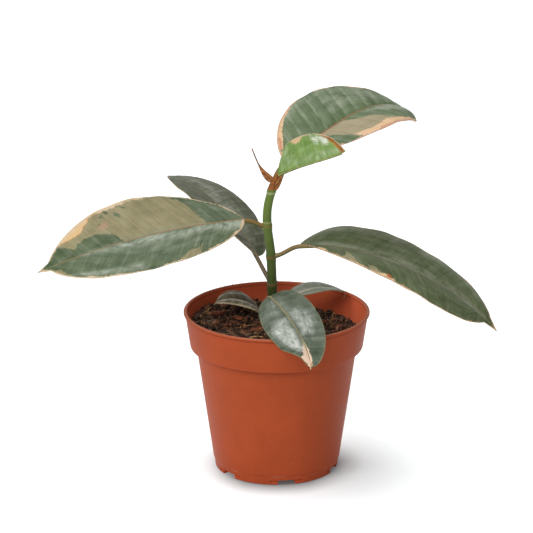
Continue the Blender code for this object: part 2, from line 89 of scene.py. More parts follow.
POT_SEGMENTS = 192
SOIL_SEGMENTS = 300

SOIL_LEVEL = 80.3
SOIL_TILT = 0.05
SOIL_MOUNDS = (
    (-29.0, 20.0, 4.6, 12.0),
    (-34.0, -2.0, 1.8, 9.0),
    (-12.0, -20.0, 2.2, 11.0),
    (18.0, 34.0, -1.4, 10.0),
    (30.0, -4.0, 1.2, 9.0),
)

# the pot's painted light, in metres: the height of each painted shade line under the lip and the ledge,
# how far it reaches and how dark it is, then the lip's pale top edge, wear and a painted highlight, and the
# pale line above the foot, a scratch and a painted highlight
PAINTED_SHADE_LINES = ((0.0903, 0.0005, 0.4), (0.0709, 0.0009, 0.6))
LIP_WEAR_AND_HIGHLIGHT = (0.0915, 0.0919)
SCRATCH_AND_HIGHLIGHT_HEIGHT = 0.0052

STEM_BOTTOM_RADIUS = 2.4
STEM_TOP_RADIUS = 1.75
STEM_POINTS = (
    (-1.0, 0.5, 46.0),
    (-2.0, 0.0, 80.0),
    (-2.5, 0.0, 102.0),
    (-3.2, 0.0, 124.0),
    (-5.2, 0.0, 141.0),
    (-5.0, 0.0, 152.0),
    (-2.6, 0.0, 162.5),
    (-0.6, 0.0, 167.5),
)
STEM_NODES = (107.0, 123.0, 141.0, 162.0)
STEM_NODE_SWELL = 0.3
STEM_BARK = 0.45  # how much further out the finished bark stands than the solid stem

# height and reach of each corky ring on the stem, its colour and how strongly it shows
BARK_RINGS = (
    (107.3, 0.7, "#7C5A34", 0.7),
    (123.4, 0.8, "#7C5A34", 0.75),
    (141.6, 0.6, "#8C6238", 0.6),
    (143.6, 0.5, "#C9BE94", 0.35),
    (160.6, 0.8, "#B9C295", 0.6),
    (164.4, 2.0, "#9A5A2E", 0.95),
    (167.5, 1.8, "#A86A34", 0.9),
)
NECK_STARTS, NECK_ENDS = 162.0, 167.0  # the stem thins between these heights, under the dry sheath
NECK_THINNING = 0.6

LEAF_LEAST_HALF_WIDTH = 0.4
MIDRIB_END = 0.92
MIDRIB_END_RADIUS = 0.45

# cells along and across a blade: a wide one, with a half wider than this, a small one, and a dry sheath
WIDE_BLADE = 18.0
FINE_CELLS = (180, 96)
COARSE_CELLS = (110, 64)
PAPER_CELLS = (60, 20)
PAPER_THICKNESS = 0.25

# Each blade: base, handles and tip of its midrib. left and right are its halves: greatest half width, where
# that lies along the blade, the angle at which the half leaves the midrib, and its bend back down. roll is
# its turn at base and tip, and stalk is where the stalk leaves the stem and the way it first points.
# fullness, for each half, is how blunt it ends: the lower, the fuller its tip. drip is the drip tip's share
# of the length and of the half width. nick takes a share of each half's width away between two places near
# the tip, blunt rounds the blade off between two places, and taper narrows it over its first share. curl is
# a further bend of each half near the tip, and hook is the dry, curled end of a drip tip.
LEAVES = {
    "leaf_left": dict(
        base=(-18.5, -3.5, 146.5), handles=((-53.5, -24, 149), (-90, -49, 148)), tip=(-129, -54, 131.5),
        left=(27.5, 0.51, -1, 18), right=(29, 0.47, 17, 0), roll=(-4, -18), fullness=(0.62, 0.68),
        drip=(0.07, 0.13), stalk=((-5.2, 0, 140.5), (-6, -1, 2)), stalk_radius=1.25, slot="leaf_variegated"),
    "leaf_right": dict(
        base=(13, -6.5, 132.7), handles=((40, -24.5, 139.7), (94, -13, 122.5)), tip=(121.5, -29.5, 89.5),
        left=(25, 0.40, 20, 18), right=(24.5, 0.66, 13, 47), roll=(4, 3), fullness=(0.70, 0.65),
        drip=(0.08, 0.17), stalk=((-3.2, 0, 123.5), (6, -1, 0.5)), stalk_radius=1.25, slot="leaf_grey_green"),
    "leaf_back_left": dict(
        base=(-10.5, 8.5, 121), handles=((-26, 40, 139.5), (-50.5, 78.5, 148.5)), tip=(-64, 107, 140),
        left=(19.2, 0.51, 17, 13), right=(20.8, 0.49, 12, 29), roll=(16, 1), fullness=(0.79, 0.60),
        drip=(0.07, 0.11), stalk=((-2.6, 0, 107), (-3, 2, 4)), stalk_radius=1.2, slot="leaf_grey_green"),
    "leaf_top": dict(
        base=(4.5, 4, 177.5), handles=((30.5, 18, 194), (61.5, 57, 211)), tip=(79.5, 67, 185.5),
        left=(31, 0.44, 14, 8), right=(27.8, 0.61, 8, 14), roll=(10, 2), fullness=(0.74, 0.62),
        curl=(0, 30), drip=(0.03, 0.05), stalk=((-2.2, 0, 163.5), (0.5, 4, 3)), stalk_radius=1.3,
        slot="leaf_variegated"),
    "leaf_young": dict(
        base=(0.5, -1.6, 171.7), handles=((14.5, -10, 181), (30, -15.5, 184.7)), tip=(37.4, -22.5, 191),
        left=(14.4, 0.50, 73, 2), right=(16.2, 0.54, 76, 0), roll=(0, -2), fullness=(0.85, 0.52),
        taper=0.3, blunt=(0.90, 0.985), drip=(0.01, 0.05), stalk=((-0.9, 0, 166.8), (0.5, 0, 2)),
        stalk_radius=0.8, slot="leaf_young"),
    "leaf_low_front": dict(
        base=(-4, -10.5, 103.5), handles=((3, -30, 105), (19, -63.5, 93)), tip=(18, -69, 81.5),
        left=(15.2, 0.44, 11, -4), right=(16, 0.51, 0, 13), roll=(10, 4), fullness=(0.46, 0.58),
        nick=(0.05, 0.50, 0.74, 0.92), drip=(0.02, 0.05), stalk=((-2.3, 0, 91), (-0.5, -3, 4)),
        stalk_radius=1.1, slot="leaf_grey_green"),
    "leaf_low_left": dict(
        base=(-7.5, 9, 86), handles=((-15.5, 6, 98.5), (-30.5, 3, 100.5)), tip=(-35.5, 4, 93.5),
        left=(12, 0.44, 13, 24), right=(11, 0.45, 15, 20), roll=(-4, -2), fullness=(0.62, 0.62),
        drip=(0.07, 0.10), stalk=((-2.0, 0, 85), (-2, 3, 0.5)), stalk_radius=0.9, slot="leaf_grey_green"),
    "leaf_low_right": dict(
        base=(7.5, 9, 97), handles=((19, 16, 100.5), (28, 20.5, 101)), tip=(39.5, 30, 93),
        left=(10, 0.45, 11, 19), right=(11, 0.45, 13, 16), roll=(-4, 5), fullness=(0.61, 0.61),
        hook=((36.0, 27.4, 94.0), (38.2, 28.6, 93.2), (39.2, 29.0, 91.0), (38.6, 28.8, 88.6)),
        drip=(0.07, 0.10), stalk=((-2.4, 0, 91), (3, 3, 1)), stalk_radius=0.9, slot="leaf_grey_green"),
}
STIPULES = {
    "stipule_left": dict(
        base=(-2.8, -1, 167.2), handles=((-6.5, -1, 169), (-10, -1.6, 176)), tip=(-13.7, -2, 186.5),
        left=(2.8, 0.14, 25, 10), right=(1.9, 0.16, 25, 10), roll=(65, 40), fullness=(1.9, 1.9),
        drip=(0.3, 0.14)),
    "stipule_right": dict(
        base=(-0.7, -2.6, 162.6), handles=((-0.1, -2.7, 165.5), (1.4, -2.7, 169)), tip=(4.2, -2.4, 173.5),
        left=(2.0, 0.42, 12, 10), right=(1.7, 0.42, 12, 10), roll=(-62, -62), fullness=(0.7, 0.7),
        drip=(0.1, 0.3)),
}

# x, y, height and radius of the dry sheath where it wraps the neck
NECK = (
    (-2.9, 0.0, 162.2, 1.9),
    (-2.1, -0.2, 164.5, 2.15),
    (-1.0, -0.5, 167.2, 2.2),
    (-0.2, -1.0, 169.5, 1.7),
    (0.4, -1.5, 171.6, 1.1),
)

# x, y, turn about Z, length, width, thickness
BARK_CHIPS = (
    (-11.0, -9.0, 20.0, 8.0, 5.0, 1.6),
    (-16.5, -14.0, -35.0, 6.5, 3.0, 1.2),
    (-28.0, -6.0, 70.0, 6.0, 3.6, 1.3),
    (-33.0, 9.0, 10.0, 7.0, 4.2, 1.6),
    (-22.0, 8.0, -20.0, 5.5, 4.0, 1.4),
    (-24.0, 27.0, 15.0, 6.0, 3.5, 1.4),
    (27.0, 14.0, 40.0, 6.0, 3.6, 1.4),
    (36.0, 4.0, -30.0, 5.5, 3.2, 1.3),
    (22.0, -12.0, 75.0, 6.0, 3.8, 1.4),
)
# how fresh the red of each chip is
CHIP_TONES = (0.35, 0.1, 0.2, 0.3, 0.95, 0.1, 0.2, 0.3, 0.05)
# x, y, turn about Z, length, radius
STRAWS = (
    (-41.0, 13.0, 62.0, 12.0, 0.55),
    (-10.0, -20.5, 12.0, 10.0, 0.5),
    (-17.5, -2.0, 50.0, 9.0, 0.45),
)

STRAW_TONE = 0.55

# the loose crumbs' sizes, how long each is for its size, and how bright
CRUMB_SIZES = (0.55, 0.7, 0.9, 1.2, 1.6, 2.1)
CRUMB_LENGTHS = (0.8, 1.0, 1.3, 2.2)
CRUMB_TONES = (0.0, 0.0, 0.05, 0.1, 0.3, 0.6, 1.0)
# x, y, height, size: crumbs that were left on the lip when the pot was filled
RIM_CRUMBS = (
    (-29.5, 43.0, 91.9, 0.3),
    (-25.3, 45.5, 91.9, 0.35),
    (0.6, 51.9, 92.0, 0.35),
    (51.6, -2.0, 92.0, 0.6),
)

# ---------------------------------------------------------------- the studio, metres
# each lamp's place, from which it points at the origin, its spread in degrees and its strength
LAMPS = (
    ("key_softbox", (-0.43, -0.65, 0.62), 40.0, 0.55 * math.pi),
    ("front_fill", (-0.20, -0.80, 0.60), 80.0, 0.06 * math.pi),
    ("rear_softbox", (-0.12, 0.42, 0.90), 30.0, 0.35 * math.pi),
)
CAMERA_TILT = math.radians(17.8)
CAMERA_DISTANCE = 1.5
CAMERA_AIM = (-0.0057, 0.0, 0.1175)
CAMERA_LENS = 181.0

# ---------------------------------------------------------------- the blades' own looks
# Patches are outlines in the blade's own measure: share of its length, then across from -1 (left margin)
# to 1 (right margin). green lies over beige and cream. blush is a second tint: pink, pale or brown.
# margins: share of the length, width of the pale margin in millimetres on the left, then on the right.
# ribs: height in millimetres of the swell between side veins, and their spacing; a separate strength sets
# how much light is painted on that swell. lean: how far the veins lean towards the tip on each half. midrib:
# its width in millimetres at base and tip. tints: each patch's deep and pale colour. The sheen outlines are
# a painted sheen that stands in for highlights on the wax, each with the width of its edge and its strength.
PLAIN_LOOK = dict(
    beige=(), cream=(), blush=(), green=(), tints={}, painted_sheen=(), margins=((0.0, 0.5, 0.5), (1.0, 0.5, 0.5)),
    ribs=(0.0, 8.0), lean=(0.38, 0.38), roughness=0.42, specular=0.2, dimples=0.9, pricks=0.2, scorch=0.0)
LOOKS = {
    "leaf_left": dict(
        beige=(((0.185, -0.01), (0.20, 0.3), (0.222, 0.72), (0.25, 0.88), (0.30, 0.93), (0.32, 1.1),
                (0.90, 1.1), (0.86, 0.65), (0.83, 0.42), (0.808, 0.24), (0.80, 0.40), (0.76, 0.46),
                (0.70, 0.42), (0.64, 0.31), (0.61, 0.16), (0.59, -0.01)),
               ((0.285, -0.72), (0.31, -0.82), (0.36, -0.80), (0.42, -0.93), (0.43, -1.1), (0.32, -1.1),
                (0.315, -0.9)),
               ((0.90, -0.5), (0.95, -0.7), (0.97, -1.1), (0.88, -1.1))),
        cream=(((0.69, 1.1), (0.695, 0.86), (0.73, 0.80), (0.755, 0.66), (0.79, 0.67), (0.83, 0.72),
                (0.86, 0.86), (0.89, 1.1)),
               ((0.62, 1.1), (0.63, 0.95), (0.70, 0.92), (0.70, 1.1)),
               ((0.06, -1.1), (0.08, -0.88), (0.10, -0.86), (0.12, -1.1))),
        blush=(((0.61, 0.50), (0.66, 0.46), (0.69, 0.58), (0.63, 0.64)),),
        green=(((0.555, 0.62), (0.575, 0.72), (0.57, 0.80), (0.55, 0.70)),
               ((0.625, 0.74), (0.645, 0.80), (0.63, 0.88)),
               ((0.595, 0.82), (0.605, 0.82), (0.625, 0.92), (0.61, 0.92)),
               ((0.50, 0.80), (0.51, 0.80), (0.55, 0.93), (0.535, 0.93)),
               ((0.645, 0.52), (0.655, 0.54), (0.668, 0.64), (0.655, 0.64))),
        margins=((0.0, 1.6, 0.8), (0.08, 1.3, 0.8), (0.15, 0.5, 0.8), (0.35, 0.45, 1.0), (0.6, 0.4, 1.6),
                 (0.9, 0.8, 1.2), (1.0, 1.6, 1.6)),
        tints=dict(beige=("#8C8560", "#A89F7A"), cream=("#E9C48F", "#E9C48F"), blush=("#A48A68", "#B69A7A")),
        greens=("#415434", "#6C7A5A"), margin_colour="#E6CCA8", rib_colour="#9C7650", rib_tip="#8E9468",
        vein_colour="#B4A488", sheen_colour="#AEB6A4", stalk_colours=("#94703E", "#6A5E2C"),
        ribs=(0.22, 8.5), midrib=(1.0, 0.35), rib_light=0.15, streak=0.35, vein=0.07, lean=(0.8, 0.4),
        pricks=0.5, scorch=0.55,
        painted_sheen=(
            (((0.0, -0.02), (0.0, -0.85), (0.08, -0.75), (0.16, -0.45), (0.35, -0.32), (0.62, -0.24),
              (0.80, -0.02)), 7.0, 0.75),
            (((0.10, -0.3), (0.16, -0.7), (0.5, -0.7), (0.62, -0.3)), 8.0, 0.14),
            (((0.58, -0.78), (0.85, -0.76), (0.88, -0.90), (0.58, -0.97)), 3.0, 0.55),
            (((0.84, 0.1), (0.9, 0.25), (0.95, 0.2), (0.92, 0.02)), 3.0, 0.12),
            (((0.0, 0.02), (0.2, 0.02), (0.22, 0.9), (0.0, 0.9)), 5.0, 0.16))),
    "leaf_right": dict(
        beige=(((0.225, 0.46), (0.25, 0.6), (0.275, 0.85), (0.30, 1.1), (0.20, 1.1), (0.225, 0.8)),
               ((0.33, 1.1), (0.335, 0.82), (0.36, 0.78), (0.395, 0.9), (0.40, 1.1))),
        cream=(((0.365, 1.1), (0.37, 0.95), (0.42, 0.86), (0.46, 0.94), (0.47, 1.1)),
               ((0.86, 1.1), (0.87, 0.95), (0.90, 0.95), (0.91, 1.1)),
               ((0.09, 1.1), (0.10, 0.75), (0.135, 0.72), (0.15, 1.1))),
        blush=(((0.42, 0.84), (0.445, 0.86), (0.44, 0.96), (0.42, 0.95)),),
        margins=((0.0, 0.3, 0.8), (0.2, 0.3, 0.9), (0.5, 0.35, 0.6), (0.58, 0.35, 0.22), (0.85, 0.4, 0.22),
                 (0.95, 1.0, 0.8), (1.0, 1.0, 1.0)),
        tints=dict(beige=("#8F896A", "#A39C78"), cream=("#E3C39B", "#E3C39B"), blush=("#A96135", "#C4713E")),
        greens=("#4A5634", "#6E7658"), margin_colour="#D9B48C", rib_colour="#7E7A52", rib_tip="#8A8660",
        vein_colour="#8E9070", sheen_colour="#B2B4A4", stalk_colours=("#8C6E46", "#6E6A38"),
        ribs=(0.14, 9.0), midrib=(0.8, 0.3), rib_light=0.06, streak=0.3, vein=0.08, lean=(0.38, 0.6),
        pricks=0.5,
        painted_sheen=(
            (((0.05, 0.0), (0.35, 0.0), (0.97, 0.0), (0.95, 0.22), (0.6, 0.2), (0.3, 0.16), (0.05, 0.2)),
             5.0, 0.5),
            (((0.05, -0.12), (0.97, -0.12), (0.97, 0.02), (0.05, 0.02)), 4.0, 0.3),
            (((0.02, -0.6), (0.3, -0.78), (0.85, -0.75), (0.95, -0.9), (0.5, -1.05), (0.02, -1.05)),
             8.0, 0.35))),
    "leaf_back_left": dict(
        margins=((0.0, 0.35, 0.3), (0.5, 0.35, 0.3), (0.9, 0.5, 0.4), (1.0, 0.8, 0.8)),
        greens=("#3E4428", "#656A52"), margin_colour="#B49C78", rib_colour="#A08E6C", rib_tip="#8E8A74",
        vein_colour="#9A9C88", sheen_colour="#A9ABA0", stalk_colours=("#7C6A48", "#66583A"),
        ribs=(0.2, 8.0), midrib=(0.8, 0.3), rib_light=0.15, streak=0.9, vein=0.12,
        painted_sheen=(
            (((0.1, 0.05), (0.9, 0.05), (0.9, 0.4), (0.5, 0.45), (0.1, 0.3)), 6.0, 0.35),
            (((0.0, -0.05), (0.35, -0.05), (0.4, -0.5), (0.0, -0.6)), 6.0, 0.35))),
    "leaf_top": dict(
        beige=(((0.245, 0.02), (0.41, 0.06), (0.44, 0.2), (0.50, 0.33), (0.56, 0.45), (0.59, 0.65),
                (0.61, 0.82), (0.62, 1.1), (0.37, 1.1), (0.33, 0.72), (0.295, 0.5), (0.26, 0.25)),),
        cream=(((0.345, 0.76), (0.40, 0.80), (0.45, 0.83), (0.50, 0.80), (0.55, 0.74), (0.60, 0.80),
                (0.68, 0.86), (0.78, 0.90), (0.86, 0.96), (0.88, 1.1), (0.36, 1.1), (0.37, 0.95),
                (0.355, 0.85)),
               ((0.03, -1.1), (0.05, -0.60), (0.10, -0.72), (0.14, -0.84), (0.22, -0.93), (0.30, -1.1))),
        blush=(((0.02, -1.1), (0.04, -0.6), (0.09, -0.8), (0.10, -1.1)),
               ((0.40, 1.1), (0.48, 0.93), (0.60, 0.93), (0.62, 1.1))),
        margins=((0.0, 1.7, 0.8), (0.2, 1.1, 0.6), (0.30, 1.0, 0.6), (0.38, 0.5, 0.7), (0.62, 0.5, 0.9),
                 (0.75, 1.5, 1.0), (1.0, 1.8, 1.2)),
        tints=dict(beige=("#9C9474", "#B2A384"), cream=("#E8C298", "#E8C298"), blush=("#BE8B6C", "#DDA27E")),
        greens=("#506440", "#748460"), margin_colour="#DDB292", rib_colour="#A2543C", rib_tip="#A98A72",
        vein_colour="#B4B8A2", sheen_colour="#B2B8A6", stalk_colours=("#8E6A3A", "#6E6A3A"),
        ribs=(0.42, 8.2), midrib=(1.1, 0.4), rib_light=0.23, streak=0.5, vein=0.08, lean=(0.38, 0.3),
        roughness=0.44, specular=0.15, pricks=0.1,
        painted_sheen=(
            (((0.2, -0.85), (0.5, -0.9), (0.75, -0.9), (0.75, -1.05), (0.2, -1.05)), 7.0, 0.45),
            (((0.45, -0.35), (0.9, -0.2), (0.95, -0.9), (0.5, -1.0)), 9.0, 0.3),
            (((0.55, 0.12), (0.95, 0.05), (0.95, 0.6), (0.7, 0.45), (0.6, 0.3)), 5.0, 0.55))),
    "leaf_young": dict(
        cream=(((0.36, 1.1), (0.38, 0.86), (0.42, 0.80), (0.50, 0.88), (0.56, 1.1)),
               ((0.30, -1.1), (0.32, -0.84), (0.40, -0.82), (0.46, -0.95), (0.52, -1.1))),
        blush=(((0.70, 1.1), (0.74, 0.94), (0.82, 0.84), (0.88, 0.66), (0.92, 0.35), (0.935, -0.1),
                (1.02, -0.1), (1.02, 1.1)),
               ((0.76, -1.1), (0.78, -0.82), (0.88, -0.62), (0.92, -0.2), (1.02, -0.2), (1.02, -1.1))),
        margins=((0.0, 0.25, 0.25), (0.3, 0.5, 0.4), (0.6, 0.25, 0.25), (0.8, 0.3, 0.3), (1.0, 0.3, 0.3)),
        tints=dict(cream=("#EBC79A", "#EBC79A"), blush=("#5A3214", "#D08A3E")),
        greens=("#6A8C40", "#9CBA6E"), margin_colour="#E2C7A0", rib_colour="#5E7F38", rib_tip="#8C8C40",
        vein_colour="#C4D6A0", sheen_colour="#ECF2DE", stalk_colours=("#A9A868", "#5F7434"),
        ribs=(0.1, 4.5), midrib=(0.8, 0.4), rib_light=0.08, streak=0.6, vein=0.06, lean=(0.3, 0.3),
        roughness=0.45,
        painted_sheen=(
            (((0.62, 0.98), (0.64, 0.66), (0.68, 0.60), (0.74, 0.92)), 2.5, 0.9),
            (((0.70, 0.94), (0.74, 0.56), (0.80, 0.54), (0.84, 0.84)), 2.5, 0.95),
            (((0.1, 0.2), (0.3, 0.3), (0.3, 0.9), (0.15, 0.9)), 5.0, 0.2),
            (((0.3, 0.1), (0.95, 0.1), (0.9, 0.3), (0.4, 0.25)), 4.0, 0.25))),
    "leaf_low_front": dict(
        beige=(((0.70, -0.02), (0.78, 0.0), (0.86, 0.16), (0.80, 0.12)),),
        cream=(((0.755, -0.03), (0.80, -0.07), (0.84, -0.10), (0.90, -0.14), (0.97, -0.3), (1.02, 0.0),
                (1.02, 1.1), (0.90, 1.1), (0.86, 0.42), (0.83, 0.30), (0.79, 0.16)),),
        blush=(((0.94, -0.2), (0.97, 0.05), (1.02, 0.3), (1.02, -0.6)),),
        margins=((0.0, 0.25, 0.25), (0.3, 0.3, 0.35), (0.8, 0.3, 0.45), (1.0, 0.8, 0.6)),
        tints=dict(beige=("#B1A788", "#C9BE9A"), cream=("#ECCDB4", "#ECCDB4"), blush=("#B78667", "#D59C78")),
        greens=("#43503C", "#677260"), margin_colour="#7F7E58", rib_colour="#CDBB8A", rib_tip="#DCC49C",
        vein_colour="#A6AC98", sheen_colour="#D2D6CE", stalk_colours=("#7C7440", "#5E6434"),
        ribs=(0.12, 6.0), midrib=(0.9, 0.5), rib_light=0.05, streak=0.4, vein=0.08, roughness=0.3,
        specular=0.3, dimples=3.0, pricks=0.3,
        painted_sheen=(
            (((0.42, 0.10), (0.80, 0.12), (0.82, 0.5), (0.72, 0.80), (0.55, 0.80), (0.42, 0.5)), 4.0, 0.66),
            (((0.36, -0.12), (0.66, -0.14), (0.68, -0.5), (0.58, -0.72), (0.45, -0.72), (0.34, -0.5)),
             4.0, 0.55),
            (((0.08, -0.3), (0.34, -0.3), (0.34, 0.8), (0.08, 0.6)), 4.0, 0.2))),
    "leaf_low_left": dict(
        margins=((0.0, 0.5, 0.5), (0.5, 0.7, 0.7), (1.0, 0.7, 0.7)),
        greens=("#4A422C", "#6E644C"), margin_colour="#C9B795", rib_colour="#A79E80", rib_tip="#A79E80",
        vein_colour="#8A8A74", sheen_colour="#CCC4B0", stalk_colours=("#5C5838", "#4C4A2C"),
        ribs=(0.12, 5.0), midrib=(0.6, 0.3), rib_light=0.2, streak=0.5, vein=0.16,
        painted_sheen=(
            (((0.0, -0.2), (0.9, -0.25), (0.9, -0.5), (0.0, -0.45)), 2.0, 0.85),
            (((0.0, 0.5), (0.9, 0.5), (0.9, 0.85), (0.0, 0.85)), 2.0, 0.6))),
    "leaf_low_right": dict(
        blush=(((0.95, -1.1), (0.96, 1.1), (1.02, 1.1), (1.02, -1.1)),),
        margins=((0.0, 0.3, 0.3), (0.5, 0.4, 0.4), (1.0, 0.7, 0.7)),
        tints=dict(blush=("#77542E", "#8A6236")),
        greens=("#626A56", "#8E9284"), margin_colour="#9A9270", rib_colour="#A9A78C", rib_tip="#A08A5C",
        # the stalk and hook are set a lighter tan than they show: painted light on the hook, which lies in
        # shade
        vein_colour="#A8AA98", sheen_colour="#C4C6BA", stalk_colours=("#F2D2A2", "#D0A676"),
        ribs=(0.12, 5.0), midrib=(0.6, 0.3), rib_light=0.2, streak=0.5, vein=0.12, roughness=0.4,
        specular=0.25,
        painted_sheen=(
            (((0.05, 0.0), (0.9, 0.0), (0.9, 0.25), (0.05, 0.25)), 2.0, 0.9),)),
}


# ---------------------------------------------------------------- settings a user would change
def linear(text):
    """An sRGB hex colour as the linear colour that a shader takes."""
    values = [int(text[k:k + 2], 16) / 255 for k in (1, 3, 5)]
    return tuple(v / 12.92 if v <= 0.04045 else ((v + 0.055) / 1.055) ** 2.4 for v in values)


def colour_setting(name, description, text):
    return bpy.props.FloatVectorProperty(name=name, description=description, subtype="COLOR", size=3,
                                         min=0, max=1, default=linear(text))


class PlantSizes(bpy.types.PropertyGroup):
    rim_radius: bpy.props.FloatProperty(
        name="Rim radius", description="Outside radius of the pot's rolled lip",
        default=0.0524, min=0.03, unit="LENGTH")
    pot_height: bpy.props.FloatProperty(
        name="Pot height", description="Height of the pot's lip above the floor",
        default=0.092, min=0.05, unit="LENGTH")
    wall: bpy.props.FloatProperty(
        name="Wall", description="Thickness of the pot's side", default=0.0011, min=0.0005, unit="LENGTH")
    leaf_thickness: bpy.props.FloatProperty(
        name="Leaf thickness", description="Thickness of a blade between its veins",
        default=0.00045, min=0.0002, unit="LENGTH")
    crumb_count: bpy.props.IntProperty(
        name="Soil crumbs", description="Loose crumbs of peat on the soil", default=1500, min=0)
    fibre_count: bpy.props.IntProperty(
        name="Fibres", description="Fine dry roots and fibres on the soil", default=180, min=0)


class PlantColours(bpy.types.PropertyGroup):
    pot: colour_setting("Pot", "Terracotta colour of the moulded plastic", "#B5502B")
    # the inside is a lighter colour than the same plastic outside: painted light on the shaded inner wall
    pot_inside_painted_light: colour_setting("Pot inside", "The same plastic inside, under its soil stains", "#F2744E")
    soil: colour_setting("Soil", "Damp peat", "#5E4434")
    bark: colour_setting("Bark chips", "Pine bark in the soil", "#8A4C30")
    straw: colour_setting("Straw", "Dry stalks and fibres", "#B58A55")
    stem_low: colour_setting("Stem, low", "Old green bark near the soil", "#28340F")
    stem_high: colour_setting("Stem, high", "Young green bark near the tip", "#6C803A")
    sheath: colour_setting("Dry sheath", "Papery sheath that wrapped the newest leaf", "#AE703E")
    floor: colour_setting("Floor", "Seamless studio paper", "#F0F2F2")


# ---------------------------------------------------------------- materials
def feed(tree, node, inputs):
    """Set a node's inputs, each to a value or to what feeds it: a socket, or a node's first output in use."""
    for name, value in inputs.items() if isinstance(inputs, dict) else enumerate(inputs):
        if isinstance(value, bpy.types.Node):
            value = next(socket for socket in value.outputs if socket.enabled)
        if isinstance(value, bpy.types.NodeSocket):
            tree.links.new(value, node.inputs[name])
        elif node.inputs[name].type == "RGBA":
            node.inputs[name].default_value = (*value[:3], 1.0)
        else:
            node.inputs[name].default_value = value
    return node


def add(tree, kind, inputs=(), **settings):
    """Add a node: inputs are what feeds it, in order or by name, and settings are its own properties."""
    made = tree.nodes.new("ShaderNode" + kind)
    for name, value in settings.items():
        setattr(made, name, value)
    return feed(tree, made, inputs)


def new_material(name):
    """A material of that name, its node tree and its shader."""
    made = bpy.data.materials.new(name)
    made.use_nodes = True
    return made, made.node_tree, made.node_tree.nodes["Principled BSDF"]


def specks(tree, place, spacing, reach, strength, rare=0.0, channel=0):
    """Specks this far apart, solid and gone at the shares of that in reach. rare leaves most cells bare."""
    cells = add(tree, "TexVoronoi", {"Vector": place, "Scale": 1 / spacing}, feature="F1")
    speck = add(tree, "MapRange", (cells.outputs["Distance"], *reach, strength, 0.0))
    if not rare:
        return speck
    chosen = add(tree, "SeparateColor", (cells.outputs["Color"],)).outputs[channel]
    chosen = add(tree, "Math", (chosen, rare), operation="GREATER_THAN")
    return add(tree, "Math", (speck, chosen), operation="MULTIPLY")


def away(tree, value, level):
    """How far a value is from a level, on either side of it."""
    off = add(tree, "Math", (value, level), operation="SUBTRACT")
    return add(tree, "Math", (off,), operation="ABSOLUTE")


